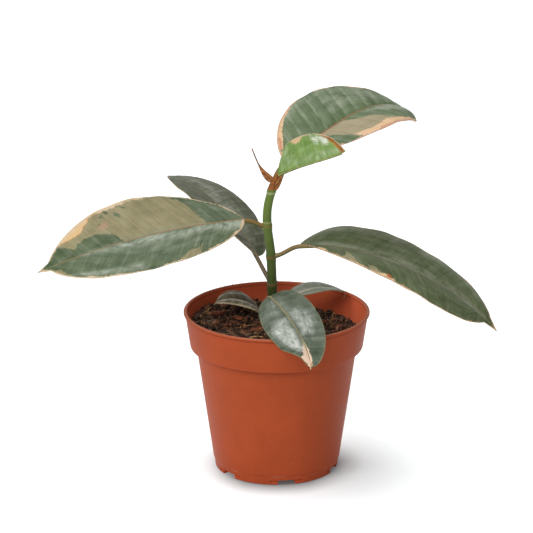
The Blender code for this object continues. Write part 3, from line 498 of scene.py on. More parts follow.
def moulded_plastic(name, colour, stained):
    """Injection-moulded polypropylene, coloured right through: an even satin skin.

    The eye sees soft mottling where the melt flowed, fine orange peel in the gloss, painted shade in the
    grooves under the lip and the ledge, pale lines on the lip's top edge and above the foot that are wear
    and painted highlights, and on the inside a film of dried soil, heavier on the left as painted shade.
    """
    made, tree, shader = new_material(name)
    place = add(tree, "TexCoord").outputs["Object"]
    height = add(tree, "SeparateXYZ", (place,)).outputs["Z"]
    # cloudy mottling 25 mm across, and streaks that run down the wall where the melt flowed
    clouds = add(tree, "TexNoise", {"Vector": place, "Scale": 1 / 0.025, "Detail": 4.0, "Roughness": 0.6})
    drawn = add(tree, "Mapping", {"Vector": place, "Scale": (1.0, 1.0, 0.08)})
    streaks = add(tree, "TexNoise", {"Vector": drawn, "Scale": 1 / 0.003, "Detail": 3.0})
    grain = add(tree, "TexNoise", {"Vector": place, "Scale": 1 / 0.0006, "Detail": 3.0})
    dark = [c * 0.88 for c in colour]
    light = [min(c * 1.07 + 0.002, 1.0) for c in colour]
    tone = add(tree, "MapRange", (clouds, 0.3, 0.7, 0.25, 0.75))
    tone = add(tree, "Math", (streaks, 0.22, tone), operation="MULTIPLY_ADD")
    tone = add(tree, "Math", (grain, 0.2, tone), operation="MULTIPLY_ADD")
    tone = add(tree, "MapRange", (tone, 0.4, 1.0, 0.0, 1.0))
    base = add(tree, "Mix", {0: tone, 6: dark, 7: light}, data_type="RGBA")
    # painted shade in the groove under the lip and under the ledge, lines 0.5 mm deep
    for level, reach, strength in PAINTED_SHADE_LINES:
        painted_shade = add(tree, "MapRange", (away(tree, height, level), reach * 0.4, reach, strength, 0.0))
        base = add(tree, "Mix", {0: painted_shade, 6: base, 7: [c * 0.3 for c in colour]}, data_type="RGBA")
    # pale top edge of the lip, 0.4 mm deep, wear and a painted highlight, and the pale line above the foot
    # band, a scratch and a painted highlight on the step's edge, broken up along its length
    lip_wear_and_highlight = add(tree, "MapRange", (height, *LIP_WEAR_AND_HIGHLIGHT, 0.0, 0.45))
    scratch_and_highlight = add(tree, "MapRange", (away(tree, height, SCRATCH_AND_HIGHLIGHT_HEIGHT), 0.0006, 0.0002, 0.0, 1.0))
    broken = add(tree, "TexNoise", {"Vector": place, "Scale": 1 / 0.007, "Detail": 3.0})
    broken = add(tree, "MapRange", (broken, 0.48, 0.62, 0.0, 0.6))
    scratch_and_highlight = add(tree, "Math", (scratch_and_highlight, broken), operation="MULTIPLY")
    wear_and_highlights = add(tree, "Math", (lip_wear_and_highlight, scratch_and_highlight), operation="MAXIMUM")
    pale = [c * 0.55 + 0.36 * w for c, w in zip(colour, (0.95, 0.62, 0.45))]
    base = add(tree, "Mix", {0: wear_and_highlights, 6: base, 7: pale}, data_type="RGBA")
    # pale grit stuck to the skin: specks 0.5 mm across, one here and there
    speck = specks(tree, place, 0.0045, (0.05, 0.075), 0.3, 0.6 if stained else 0.9)
    base = add(tree, "Mix", {0: speck, 6: base, 7: linear("#D8B79C")}, data_type="RGBA")
    if stained:
        # dried soil: a grey-brown film that thins out 8 mm above the soil, in splashes 2 mm across. It is
        # heavier towards the left inner wall and faint on the lit right: that part is painted shade
        splash = add(tree, "TexNoise", {"Vector": place, "Scale": 1 / 0.002, "Detail": 5.0, "Roughness": 0.7})
        low = add(tree, "MapRange", (height, 0.079, 0.088, 0.54, 0.30))
        stain = add(tree, "Math", (low, splash), operation="SUBTRACT")
        across = add(tree, "SeparateXYZ", (place,)).outputs["X"]
        where = add(tree, "MapRange", (across, -0.035, 0.0, 0.4, 0.08))
        stain = add(tree, "MapRange", (stain, 0.0, 0.16, 0.0, where))
        base = add(tree, "Mix", {0: stain, 6: base, 7: linear("#4A3327")}, data_type="RGBA")
    rough = add(tree, "MapRange", (clouds, 0.3, 0.7, 0.44, 0.56))
    bump = add(tree, "Bump", {"Height": grain, "Strength": 0.12, "Distance": 0.0002})
    feed(tree, shader, {"Base Color": base, "Roughness": rough, "Normal": bump, "IOR": 1.49,
                        "Specular IOR Level": 0.12})
    return made


def damp_peat(name, colour):
    """Damp peat with bark fines: near black, with duller brown crumbs and short pale fibres."""
    made, tree, shader = new_material(name)
    place = add(tree, "TexCoord").outputs["Object"]
    crumbs = add(tree, "TexVoronoi", {"Vector": place, "Scale": 1 / 0.0022}, feature="F1")
    fines = add(tree, "TexNoise", {"Vector": place, "Scale": 1 / 0.0011, "Detail": 6.0, "Roughness": 0.7})
    pick = add(tree, "SeparateColor", (crumbs.outputs["Color"],))
    tone = add(tree, "MapRange", (fines, 0.42, 0.66, 0.0, 1.0))
    dark = [c * 0.12 for c in colour]
    base = add(tree, "Mix", {0: tone, 6: dark, 7: [c * 1.8 for c in colour]}, data_type="RGBA")
    chosen = add(tree, "Math", (pick, 0.86), operation="GREATER_THAN")
    chosen = add(tree, "Math", (chosen, 0.65), operation="MULTIPLY")
    base = add(tree, "Mix", {0: chosen, 6: base, 7: linear("#5E3B2A")}, data_type="RGBA")
    bump = add(tree, "Bump", {"Height": fines, "Strength": 0.9, "Distance": 0.0008})
    # damp: the fines glisten a little where they are smooth
    rough = add(tree, "MapRange", (fines, 0.3, 0.7, 0.55, 0.95))
    feed(tree, shader, {"Base Color": base, "Roughness": rough, "Normal": bump})
    return made


def loose_bits(name, colour, grain_mm, streak):
    """Dry plant matter, bark or straw: fibrous, matt, each bit its own tone from the tone attribute."""
    made, tree, shader = new_material(name)
    place = add(tree, "TexCoord").outputs["Object"]
    tone = add(tree, "Attribute", attribute_name="tone").outputs["Fac"]
    drawn = add(tree, "Mapping", {"Vector": place, "Scale": (1.0, streak, 1.0)})
    fibres = add(tree, "TexNoise", {"Vector": drawn, "Scale": 1000 / grain_mm, "Detail": 5.0,
                                    "Roughness": 0.65})
    mixed = add(tree, "Math", (tone, fibres), operation="ADD")
    mixed = add(tree, "MapRange", (mixed, 0.45, 1.45, 0.0, 1.0))
    dark = [c * 0.12 for c in colour]
    light = [min(c * 1.9 + 0.01, 1.0) for c in colour]
    base = add(tree, "Mix", {0: mixed, 6: dark, 7: light}, data_type="RGBA")
    bump = add(tree, "Bump", {"Height": fibres, "Strength": 0.6, "Distance": 0.0004})
    feed(tree, shader, {"Base Color": base, "Normal": bump, "Roughness": 0.8, "Specular IOR Level": 0.3})
    return made


def green_bark(name, low, high):
    """Young fig bark: smooth green skin with faint fluting, corky pale pores and brown leaf scars."""
    made, tree, shader = new_material(name)
    place = add(tree, "TexCoord").outputs["Object"]
    height = add(tree, "SeparateXYZ", (place,)).outputs["Z"]
    drawn = add(tree, "Mapping", {"Vector": place, "Scale": (1.0, 1.0, 0.12)})
    fluting = add(tree, "TexNoise", {"Vector": drawn, "Scale": 1 / 0.0008, "Detail": 4.0})
    patches = add(tree, "TexNoise", {"Vector": place, "Scale": 1 / 0.005, "Detail": 3.0})
    rise = add(tree, "MapRange", (height, 0.100, 0.155, 0.0, 1.0))
    rise = add(tree, "Math", (patches, 0.5, rise), operation="MULTIPLY_ADD")
    rise = add(tree, "Math", (rise, 0.25), operation="SUBTRACT", use_clamp=True)
    base = add(tree, "Mix", {0: rise, 6: low, 7: high}, data_type="RGBA")
    tone = add(tree, "MapRange", (fluting, 0.3, 0.7, 0.0, 0.2))
    base = add(tree, "Mix", {0: tone, 6: base, 7: high}, data_type="RGBA")
    # a brown corky ring at each leaf scar, and a pale one just under the sheath
    for scar, reach, colour, strength in BARK_RINGS:
        off = away(tree, height, scar * MM)
        wander = add(tree, "Math", (patches, -0.0012, off), operation="MULTIPLY_ADD")
        ring = add(tree, "MapRange", (wander, reach * MM - 0.0004, reach * MM - 0.0009, 0.0, strength))
        base = add(tree, "Mix", {0: ring, 6: base, 7: linear(colour)}, data_type="RGBA")
    # corky pores 0.4 mm across, about 2 mm apart
    pore = specks(tree, place, 0.002, (0.08, 0.14), 0.25)
    base = add(tree, "Mix", {0: pore, 6: base, 7: linear("#B7B48A")}, data_type="RGBA")
    bump = add(tree, "Bump", {"Height": fluting, "Strength": 0.35, "Distance": 0.0003})
    feed(tree, shader, {"Base Color": base, "Normal": bump, "Roughness": 0.5, "Specular IOR Level": 0.22})
    return made


def stalk_skin(name, colour, shade):
    """Leaf stalk and the midrib under a blade: smooth waxy skin, tan above and olive below."""
    made, tree, shader = new_material(name)
    place = add(tree, "TexCoord").outputs["Object"]
    facing = add(tree, "SeparateXYZ", {0: add(tree, "NewGeometry").outputs["Normal"]}).outputs["Z"]
    patches = add(tree, "TexNoise", {"Vector": place, "Scale": 1 / 0.003, "Detail": 4.0})
    tone = add(tree, "Math", (facing, 0.35, patches), operation="MULTIPLY_ADD")
    tone = add(tree, "MapRange", (tone, 0.3, 0.7, 0.0, 1.0))
    base = add(tree, "Mix", {0: tone, 6: shade, 7: colour}, data_type="RGBA")
    bump = add(tree, "Bump", {"Height": patches, "Strength": 0.2, "Distance": 0.0003})
    feed(tree, shader, {"Base Color": base, "Normal": bump, "Roughness": 0.42})
    return made


def waxy_blade(name, look, length, under):
    """Waxy leaf skin of a variegated fig: grey-green over cream and beige, with fine side veins.

    It reads the blade's own measures: the blade attribute holds millimetres along and across, and
    how far in from the margin a place is, in widths of the pale margin. The zones attribute holds how
    far inside each patch a place is, in millimetres, and a third attribute how strong the painted sheen
    is, which stands in for highlights on the wax. Light on the swell between side veins is painted too.
    The patches are frayed along the side veins, as the real ones are. The under side is the same, paler
    and matt.
    """
    made, tree, shader = new_material(name)
    blade = add(tree, "Attribute", attribute_name="blade").outputs["Vector"]
    measures = add(tree, "SeparateXYZ", (blade,)).outputs
    zones = add(tree, "SeparateXYZ",
                {0: add(tree, "Attribute", attribute_name="zones").outputs["Vector"]}).outputs
    along, edge = measures["X"], measures["Z"]
    side = add(tree, "Math", (measures["Y"],), operation="ABSOLUTE")
    # side veins leave the midrib at about 70 degrees and lean towards the tip
    right = add(tree, "Math", (measures["Y"], 0.0), operation="GREATER_THAN")
    slope = add(tree, "MapRange", (right, 0.0, 1.0, -look["lean"][0], -look["lean"][1]))
    lean = add(tree, "Math", (side, slope, along), operation="MULTIPLY_ADD")
    vein_place = add(tree, "CombineXYZ", {"X": lean, "Y": measures["Y"]})
    drawn = add(tree, "Mapping", {"Vector": vein_place, "Scale": (1.0, 0.14, 1.0)})
    # streaks 2 mm wide and fine ones 0.6 mm wide, both drawn out along the veins
    broad = add(tree, "TexNoise", {"Vector": drawn, "Scale": 1 / 2.4, "Detail": 3.0})
    fine = add(tree, "TexNoise", {"Vector": drawn, "Scale": 1 / 0.7, "Detail": 3.0})
    clouds = add(tree, "TexNoise", {"Vector": blade, "Scale": 1 / 11.0, "Detail": 4.0})
    flecks = add(tree, "TexNoise", {"Vector": blade, "Scale": 1 / 0.9, "Detail": 3.0})

    green, light = [linear(c) for c in look["greens"]]
    tone = add(tree, "Math", (broad, 0.55, clouds), operation="MULTIPLY_ADD")
    tone = add(tree, "Math", (fine, 0.45, tone), operation="MULTIPLY_ADD")
    tone = add(tree, "Math", (flecks, 0.2, tone), operation="MULTIPLY_ADD")
    tone = add(tree, "MapRange", (tone, 0.85, 1.35, 0.0, 1.0))
    base = add(tree, "Mix", {0: tone, 6: green, 7: light}, data_type="RGBA")

    # between its side veins the blade swells, and the light on the swell is painted: pale on the side that
    # falls away, and fading to the next vein
    spacing = look["ribs"][1]
    wander = add(tree, "Math", (clouds, 2.5, lean), operation="MULTIPLY_ADD")
    wander = add(tree, "Math", (wander, 1.25), operation="SUBTRACT")
    turn = add(tree, "Math", (wander, 1 / spacing), operation="MULTIPLY")
    turn = add(tree, "Math", (turn,), operation="FRACT")
    rise = add(tree, "MapRange", (turn, 0.88, 1.0, 0.0, 1.0))
    band = add(tree, "MapRange", (turn, 0.0, 0.55, 1.0, 0.0), interpolation_type="SMOOTHSTEP")
    band = add(tree, "Math", (band, rise), operation="MAXIMUM")
    band = add(tree, "Math", (band, look["rib_light"]), operation="MULTIPLY")
    outer = add(tree, "MapRange", (side, 1.0, 9.0, 0.35, 1.0))
    band = add(tree, "Math", (band, outer), operation="MULTIPLY")
    uneven = add(tree, "MapRange", (clouds, 0.4, 0.6, 0.45, 1.35))
    band = add(tree, "Math", (band, uneven), operation="MULTIPLY")
    streaky = add(tree, "MapRange", (broad, 0.35, 0.65, 0.5, 1.3))
    band = add(tree, "Math", (band, streaky), operation="MULTIPLY")
    base = add(tree, "Mix", {0: band, 6: base, 7: linear(look["sheen_colour"])}, data_type="RGBA")

    # the side veins: lines 0.5 mm wide, one to each rib
    off = add(tree, "Math", (wander, spacing / 2), operation="PINGPONG")
    vein_line = add(tree, "MapRange", (off, 0.12, 0.42, 1.0, 0.0))

    # frayed edge: up to about 2 mm out of true along the veins, 1 mm anywhere
    fray = add(tree, "Math", (fine, 0.5), operation="SUBTRACT")
    fray = add(tree, "Math", (fray, 4.2), operation="MULTIPLY")
    torn = add(tree, "Math", (flecks, 0.5), operation="SUBTRACT")
    fray = add(tree, "Math", (torn, 2.6, fray), operation="MULTIPLY_ADD")
    for kind, zone in zip(("beige", "cream", "blush"), "XYZ"):
        if kind not in look["tints"]:
            continue
        deep, pale = [linear(c) for c in look["tints"][kind]]
        depth = add(tree, "Math", (zones[zone], fray), operation="ADD")
        inside = add(tree, "MapRange", (depth, -0.12, 0.18, 0.0, 1.0))
        tinted = add(tree, "Mix", {0: tone, 6: deep, 7: pale}, data_type="RGBA")
        if kind == "beige":
            veined = add(tree, "Math", (vein_line, 0.3), operation="MULTIPLY")
            tinted = add(tree, "Mix", {0: veined, 6: tinted, 7: linear("#C4A486")}, data_type="RGBA")
        if kind == "cream" and look["scorch"]:
            # the cream is scorched orange along its inner edge, 0.5 mm wide
            burnt = add(tree, "MapRange", (depth, 0.2, 0.9, look["scorch"], 0.0))
            tinted = add(tree, "Mix", {0: burnt, 6: tinted, 7: linear("#B9713A")}, data_type="RGBA")
        base = add(tree, "Mix", {0: inside, 6: base, 7: tinted}, data_type="RGBA")

    vein = add(tree, "Math", (vein_line, look["vein"]), operation="MULTIPLY")
    base = add(tree, "Mix", {0: vein, 6: base, 7: linear(look["vein_colour"])}, data_type="RGBA")

    # painted sheen: pale patches that stand in for highlights on the wax, drawn out along the veins
    painted_sheen = add(tree, "Attribute", attribute_name="painted_sheen").outputs["Fac"]
    patchy = add(tree, "Math", (broad, look["streak"], clouds), operation="MULTIPLY_ADD")
    patchy = add(tree, "Math", (look["streak"] * 0.5, patchy), operation="SUBTRACT")
    patchy = add(tree, "MapRange", (patchy, -0.68, -0.32, 1.5, 0.4))
    painted_sheen = add(tree, "Math", (painted_sheen, patchy), operation="MULTIPLY")
    dimples = add(tree, "TexNoise", {"Vector": blade, "Scale": 1 / 3.2, "Detail": 2.0})
    dented = add(tree, "MapRange", (dimples, 0.38, 0.6, 0.6, 1.15))
    painted_sheen = add(tree, "Math", (painted_sheen, dented), operation="MULTIPLY", use_clamp=True)
    base = add(tree, "Mix", {0: painted_sheen, 6: base, 7: linear(look["sheen_colour"])}, data_type="RGBA")

    # brown pinpricks 0.5 mm across, a few to each square centimetre
    prick = specks(tree, blade, 3.7, (0.05, 0.1), look["pricks"], 0.72, 1)
    base = add(tree, "Mix", {0: prick, 6: base, 7: linear("#5A4A2E")}, data_type="RGBA")

    # pale specks 0.5 mm across, most of them near the margin
    grain = specks(tree, blade, 2.6, (0.07, 0.12), 1.0, 0.72)
    near = add(tree, "MapRange", (edge, 12.0, 4.0, 0.15, 0.6))
    grain = add(tree, "Math", (grain, near), operation="MULTIPLY")
    base = add(tree, "Mix", {0: grain, 6: base, 7: linear("#D8DCCB")}, data_type="RGBA")

    # pale margin of uneven width, and the midrib, which tapers towards the tip
    rim = add(tree, "Math", (flecks, -2.4, edge), operation="MULTIPLY_ADD")
    rim = add(tree, "Math", (fine, -3.4, rim), operation="MULTIPLY_ADD")
    rim = add(tree, "Math", (clouds, -6.0, rim), operation="MULTIPLY_ADD")
    rim = add(tree, "MapRange", (rim, -5.1, -4.7, 1.0, 0.0))
    pale = add(tree, "Mix", {0: tone, 6: [c * 0.82 for c in linear(look["margin_colour"])],
                             7: linear(look["margin_colour"])}, data_type="RGBA")
    base = add(tree, "Mix", {0: rim, 6: base, 7: pale}, data_type="RGBA")
    thick, thin = look["midrib"]
    half = add(tree, "MapRange", (along, 0.0, length, thick / 2, thin / 2))
    inner = add(tree, "Math", (half, side), operation="SUBTRACT")
    rib = add(tree, "MapRange", (inner, -0.12, 0.12, 0.0, 1.0))
    way = add(tree, "MapRange", (along, length * 0.45, length * 0.85, 0.0, 1.0))
    rib_colour = add(tree, "Mix", {0: way, 6: linear(look["rib_colour"]), 7: linear(look["rib_tip"])},
                     data_type="RGBA")
    base = add(tree, "Mix", {0: rib, 6: base, 7: rib_colour}, data_type="RGBA")
    if under:
        base = add(tree, "Mix", {0: 0.35, 6: base, 7: linear("#A9AE8C")}, data_type="RGBA")

    # relief: fine veins 0.05 mm high, dimples in the wax 3 mm across, the midrib proud of its furrow
    relief = add(tree, "Math", (dimples, look["dimples"], fine), operation="MULTIPLY_ADD")
    relief = add(tree, "Math", (vein, -1.5, relief), operation="MULTIPLY_ADD")
    relief = add(tree, "Math", (rib, 1.2, relief), operation="MULTIPLY_ADD")
    bump = add(tree, "Bump", {"Height": relief, "Strength": 0.5, "Distance": 0.00025})
    gloss = look["roughness"] + (0.2 if under else 0.0)
    rough = add(tree, "MapRange", (flecks, 0.3, 0.7, gloss - 0.05, gloss + 0.07))
    feed(tree, shader, {"Base Color": base, "Roughness": rough, "Normal": bump, "IOR": 1.45,
                        "Specular IOR Level": 0.2 if under else look["specular"]})
    return made


def dry_sheath(name, colour):
    """Dry papery sheath: thin, russet, ribbed lengthwise and darker at its edges."""
    made, tree, shader = new_material(name)
    blade = add(tree, "Attribute", attribute_name="blade").outputs["Vector"]
    measures = add(tree, "SeparateXYZ", (blade,)).outputs
    drawn = add(tree, "Mapping", {"Vector": blade, "Scale": (0.12, 1.0, 0.0)})
    ribs = add(tree, "TexNoise", {"Vector": drawn, "Scale": 1 / 0.35, "Detail": 4.0})
    blots = add(tree, "TexNoise", {"Vector": blade, "Scale": 1 / 2.5, "Detail": 4.0})
    tone = add(tree, "Math", (ribs, 0.7, blots), operation="MULTIPLY_ADD")
    tone = add(tree, "MapRange", (tone, 0.68, 1.02, 0.0, 1.0))
    dark = [c * f for c, f in zip(colour, (0.34, 0.30, 0.30))]
    base = add(tree, "Mix", {0: tone, 6: dark, 7: [min(c * 1.45, 1) for c in colour]}, data_type="RGBA")
    edge = add(tree, "MapRange", (measures["Z"], 0.4, 1.3, 0.6, 0.0))
    base = add(tree, "Mix", {0: edge, 6: base, 7: [c * 0.4 for c in colour]}, data_type="RGBA")
    bump = add(tree, "Bump", {"Height": ribs, "Strength": 0.5, "Distance": 0.0002})
    feed(tree, shader, {"Base Color": base, "Normal": bump, "Roughness": 0.65, "Specular IOR Level": 0.3})
    return made


def studio_paper(name, colour):
    """Seamless white paper under the plant: white a hand's breadth away, with the soft shadow kept.

    Far from the pot the paper glows to white, as an overlit backdrop does; close to it the shadow and
    the dark line where it touches stay, both partly painted: the glow is least in an oval where the pot's
    shadow falls, and a painted contact shadow darkens the paper where the pot closes it in. The paper in
    shade is tinted cool, which offsets the pot's warm bounce light.
    """
    made, tree, shader = new_material(name)
    tree.nodes.remove(shader)
    place = add(tree, "TexCoord").outputs["Object"]
    tooth = add(tree, "TexNoise", {"Vector": place, "Scale": 1 / 0.002, "Detail": 3.0})
    bump = add(tree, "Bump", {"Height": tooth, "Strength": 0.03, "Distance": 0.0002})
    paper = add(tree, "BsdfDiffuse", {"Color": colour, "Normal": bump})
    # painted contact shadow: the paper darkens as the pot closes it in
    painted_contact_shade = add(tree, "AmbientOcclusion", {"Distance": 0.016}, samples=16).outputs["AO"]
    painted_contact_shade = add(tree, "MapRange", (painted_contact_shade, 0.35, 1.0, 0.18, 1.0))
    # the painted contact shadow is faint at the pot's two sides, where the light reaches under the foot
    beside = add(tree, "SeparateXYZ", (place,)).outputs["X"]
    beside = add(tree, "Math", (beside,), operation="ABSOLUTE")
    beside = add(tree, "MapRange", (beside, 0.018, 0.038, 0.0, 0.55))
    bright = add(tree, "Math", (1.0, painted_contact_shade), operation="SUBTRACT")
    painted_contact_shade = add(tree, "Math", (bright, beside, painted_contact_shade), operation="MULTIPLY_ADD")
    # painted shadow: the glow is least in an oval over the pot's shadow, 104 mm by 72 mm, its middle 31 mm
    # to the right of the pot's axis
    oval = add(tree, "Mapping", {"Vector": place, "Location": (-0.60, 0.20, 0.0),
                                 "Scale": (1 / 0.052, 1 / 0.036, 0.0)})
    oval = add(tree, "VectorMath", (oval,), operation="LENGTH").outputs["Value"]
    glow = add(tree, "MapRange", (oval, 0.25, 1.5, 0.20, 0.62))
    glow = add(tree, "Math", (glow, painted_contact_shade), operation="MULTIPLY")
    lit = add(tree, "Emission", {"Color": (1.0, 1.0, 1.0), "Strength": glow})
    # the paper in shade is tinted cool, painted against the pot's warm bounce light
    cooled_floor = [c * f for c, f in zip(colour, (0.825, 0.865, 0.88))]
    shade = add(tree, "Mix", {0: painted_contact_shade, 6: (0.0, 0.0, 0.0), 7: cooled_floor}, data_type="RGBA")
    seen = add(tree, "BsdfDiffuse", {"Color": shade})
    seen = add(tree, "AddShader", (seen, lit))
    rays = add(tree, "LightPath").outputs
    look = add(tree, "Math", (rays["Is Camera Ray"], rays["Is Glossy Ray"]), operation="MAXIMUM")
    look = add(tree, "Math", (look, rays["Is Transmission Ray"]), operation="MAXIMUM")
    mixed = add(tree, "MixShader", (look, paper, seen))
    feed(tree, tree.nodes["Material Output"], {"Surface": mixed})
    return made


# ---------------------------------------------------------------- modelling helpers
def deselect():
    if bpy.context.object and bpy.context.object.mode != "OBJECT":
        bpy.ops.object.mode_set(mode="OBJECT")
    for item in bpy.context.selected_objects:
        item.select_set(False)


def only(*items):
    """Select these objects alone, the first of them active."""
    deselect()
    for item in items:
        item.select_set(True)
    bpy.context.view_layer.objects.active = items[0]


def named(name):
    """Name the object that an add operator has just made, and its mesh."""
    item = bpy.context.object
    item.name = name
    item.data.name = name
    return item


def apply_all(item):
    """Apply the object's modifiers in order, then its place."""
    only(item)
    for modifier in list(item.modifiers):
        bpy.ops.object.modifier_apply(modifier=modifier.name)
    bpy.ops.object.transform_apply(location=True, rotation=True, scale=True)
    return item


def join(name, items):
    only(*items)
    if len(items) > 1:
        bpy.ops.object.join()
    return named(name)


def smooth(item, angle):
    """Smooth shading, with creases kept where faces meet at more than this angle in degrees."""
    only(item)
    bpy.ops.object.shade_smooth_by_angle(angle=math.radians(angle))


def outward(item, merge=True):
    """Merge doubled points, then turn every face outwards."""
    only(item)
    bpy.ops.object.mode_set(mode="EDIT")
    bpy.ops.mesh.select_all(action="SELECT")
    if merge:
        bpy.ops.mesh.remove_doubles(threshold=0.000002)
    bpy.ops.mesh.normals_make_consistent(inside=False)
    bpy.ops.object.mode_set(mode="OBJECT")
    return item


def keep(item, slot, *nodes):
    """Give a finished piece to the object: it rides on the body and stands for these solids."""
    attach(item, BODY)
    if nodes:
        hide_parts(*nodes)


def mark(item, name, values, kind="FLOAT"):
    """Give each point of a mesh a value, or a vector, that its material reads by this name."""
    field = "value" if kind == "FLOAT" else "vector"
    item.data.attributes.new(name, kind, "POINT").data.foreach_set(field, values)


def ramp(value, start, end):
    """How far a value has come from start to end: 0 before it, 1 past it."""
    return min(max((value - start) / (end - start), 0.0), 1.0)


def eased(share):
    """The same share with a soft start and end."""
    return share * share * (3 - 2 * share)


def boolean(item, other, operation):
    """Join another body to this one, or cut it away. The other is used up."""
    cut = item.modifiers.new(other.name, "BOOLEAN")
    cut.object = other
    cut.operation = operation
    cut.solver = "EXACT"
    only(item)
    bpy.ops.object.modifier_apply(modifier=cut.name)
    bpy.data.objects.remove(other, do_unlink=True)


def softened(profile, reach):
    """A profile with each sharp corner turned into a small curve of this reach in millimetres."""
    points = [Vector(point) for point in profile]
    rings = [points[0]]
    for before, here, after in zip(points, points[1:], points[2:]):
        back, on = before - here, after - here
        turn = math.pi - back.angle(on)
        near = min(reach, 0.4 * back.length, 0.4 * on.length)
        if turn < math.radians(6):
            rings.append(here)
            continue
        start, end = here + back.normalized() * near, here + on.normalized() * near
        rings += [start, start * 0.25 + here * 0.5 + end * 0.25, end]
    return rings + [points[-1]]


def turned(name, profile, segments):
    """A closed turned body: a small disc, extruded ring by ring along its profile, closed at its far end."""
    deselect()
    radius, height = profile[0]
    bpy.ops.mesh.primitive_circle_add(vertices=segments, radius=radius * MM, fill_type="TRIFAN",
                                      location=(0, 0, height * MM))
    item = named(name)
    bpy.ops.object.transform_apply()
    bpy.ops.object.mode_set(mode="EDIT")
    mesh = bmesh.from_edit_mesh(item.data)
    bpy.ops.mesh.select_mode(type="EDGE")
    bpy.ops.mesh.select_all(action="DESELECT")
    for edge in mesh.edges:
        edge.select_set(edge.is_boundary)
    bmesh.update_edit_mesh(item.data)
    for next_radius, next_height in profile[1:]:
        bpy.ops.mesh.extrude_edges_move(
            TRANSFORM_OT_translate={"value": (0, 0, (next_height - height) * MM)})
        grow = next_radius / radius
        bpy.ops.transform.resize(value=(grow, grow, 1.0), center_override=(0, 0, next_height * MM))
        radius, height = next_radius, next_height
    bpy.ops.mesh.merge(type="CENTER")
    bpy.ops.object.mode_set(mode="OBJECT")
    return outward(item)


def bars(name, runs, sides=4):
    """Round bars, each through its points in metres with a radius in metres at each, closed at both ends."""
    deselect()
    bpy.ops.curve.primitive_bezier_curve_add()
    item = named(name)
    data = item.data
    data.splines.clear()
    data.dimensions = "3D"
    data.bevel_depth = 1.0
    data.bevel_resolution = sides
    data.use_fill_caps = True
    for points, radii in runs:
        spline = data.splines.new("POLY")
        spline.points.add(len(points) - 1)
        for place, point, radius in zip(spline.points, points, radii):
            place.co = (*point, 1.0)
            place.radius = radius
    only(item)
    bpy.ops.object.convert(target="MESH")
    return outward(named(name))


def smooth_path(points, step):
    """Points every step millimetres along a smooth curve through points given in millimetres."""
    knots = [Vector(point) * MM for point in points]
    path = []
    for k in range(len(knots) - 1):
        before = knots[max(k - 1, 0)]
        after = knots[min(k + 2, len(knots) - 1)]
        start, end = knots[k], knots[k + 1]
        handle1 = start + (end - before) / 6
        handle2 = end - (after - start) / 6
        count = max(2, round((end - start).length / MM / step))
        path += interpolate_bezier(start, handle1, handle2, end, count + 1)[:-1]
    return path + [knots[-1]]


# ---------------------------------------------------------------- pot
def pot_profile(sizes):
    """Radius and height in millimetres: floor, inner wall, rolled lip, collar, ledge, body, foot."""
    rim, top, wall = sizes.rim_radius / MM, sizes.pot_height / MM, sizes.wall / MM
    lip_low = top - LIP_HEIGHT
    collar_top = rim - LIP_PROUD
    inner_rim = collar_top - wall
    inner_ledge = LEDGE_HEIGHT + wall
    foot_inner = FOOT_RADIUS - FOOT_WALL
    lip_middle = top - LIP_HEIGHT / 2
    return [
        (1.0, FLOOR),
        (foot_inner - 1.5, FLOOR),
        (foot_inner, FLOOR + 1.2),
        (BODY_RADIUS_LOW - wall + 0.3, FOOT_BAND_HEIGHT + 2.0),
        (BODY_RADIUS_TOP - wall, LEDGE_HEIGHT - 1.0),
        (BODY_RADIUS_TOP - wall + 0.6, inner_ledge - 0.2),
        (COLLAR_RADIUS_LOW - wall - 0.6, inner_ledge + 0.2),
        (COLLAR_RADIUS_LOW - wall, inner_ledge + 1.0),
        (inner_rim, lip_low),
        (inner_rim + 0.1, top - 0.4),
        (inner_rim + 0.45, top),
        (rim - 0.55, top),
        (rim - 0.1, top - 0.35),
        (rim, lip_middle),
        (rim - 0.1, lip_low + 0.3),
        (collar_top - 0.1, lip_low),
        (collar_top - 0.3, lip_low - 0.4),
        (collar_top - 0.1, lip_low - 1.0),
        (COLLAR_RADIUS_LOW + 0.1, LEDGE_HEIGHT + 0.8),
        (COLLAR_RADIUS_LOW - 0.1, LEDGE_HEIGHT + 0.2),
        (COLLAR_RADIUS_LOW - 0.6, LEDGE_HEIGHT),
        (BODY_RADIUS_TOP + 0.3, LEDGE_HEIGHT - 0.1),
        (BODY_RADIUS_TOP, LEDGE_HEIGHT - 0.6),
        (BODY_RADIUS_LOW, FOOT_BAND_HEIGHT + 0.3),
        (BODY_RADIUS_LOW - 0.1, FOOT_BAND_HEIGHT),
        (BODY_RADIUS_LOW - FOOT_BAND_STEP, FOOT_BAND_HEIGHT - 0.4),
        (FOOT_RADIUS, 0.4),
        (FOOT_RADIUS - 0.3, 0.0),
        (1.0, 0.0),
    ]


def drain_cutter(name, inner, outer, width, low, high, low_width=None):
    """A box along the radius at each drain, in millimetres. low_width flares its bottom."""
    parts = []
    for angle in DRAIN_ANGLES:
        deselect()
        bpy.ops.mesh.primitive_cube_add(size=1.0)
        part = bpy.context.object
        for vert in part.data.vertices:
            side = (low_width or width) if vert.co.z < 0 else width
            vert.co = Vector((inner if vert.co.x < 0 else outer, math.copysign(side / 2, vert.co.y),
                              low if vert.co.z < 0 else high)) * MM
        part.rotation_euler.z = angle
        parts.append(part)
    item = join(name, parts)
    bpy.ops.object.transform_apply()
    return item


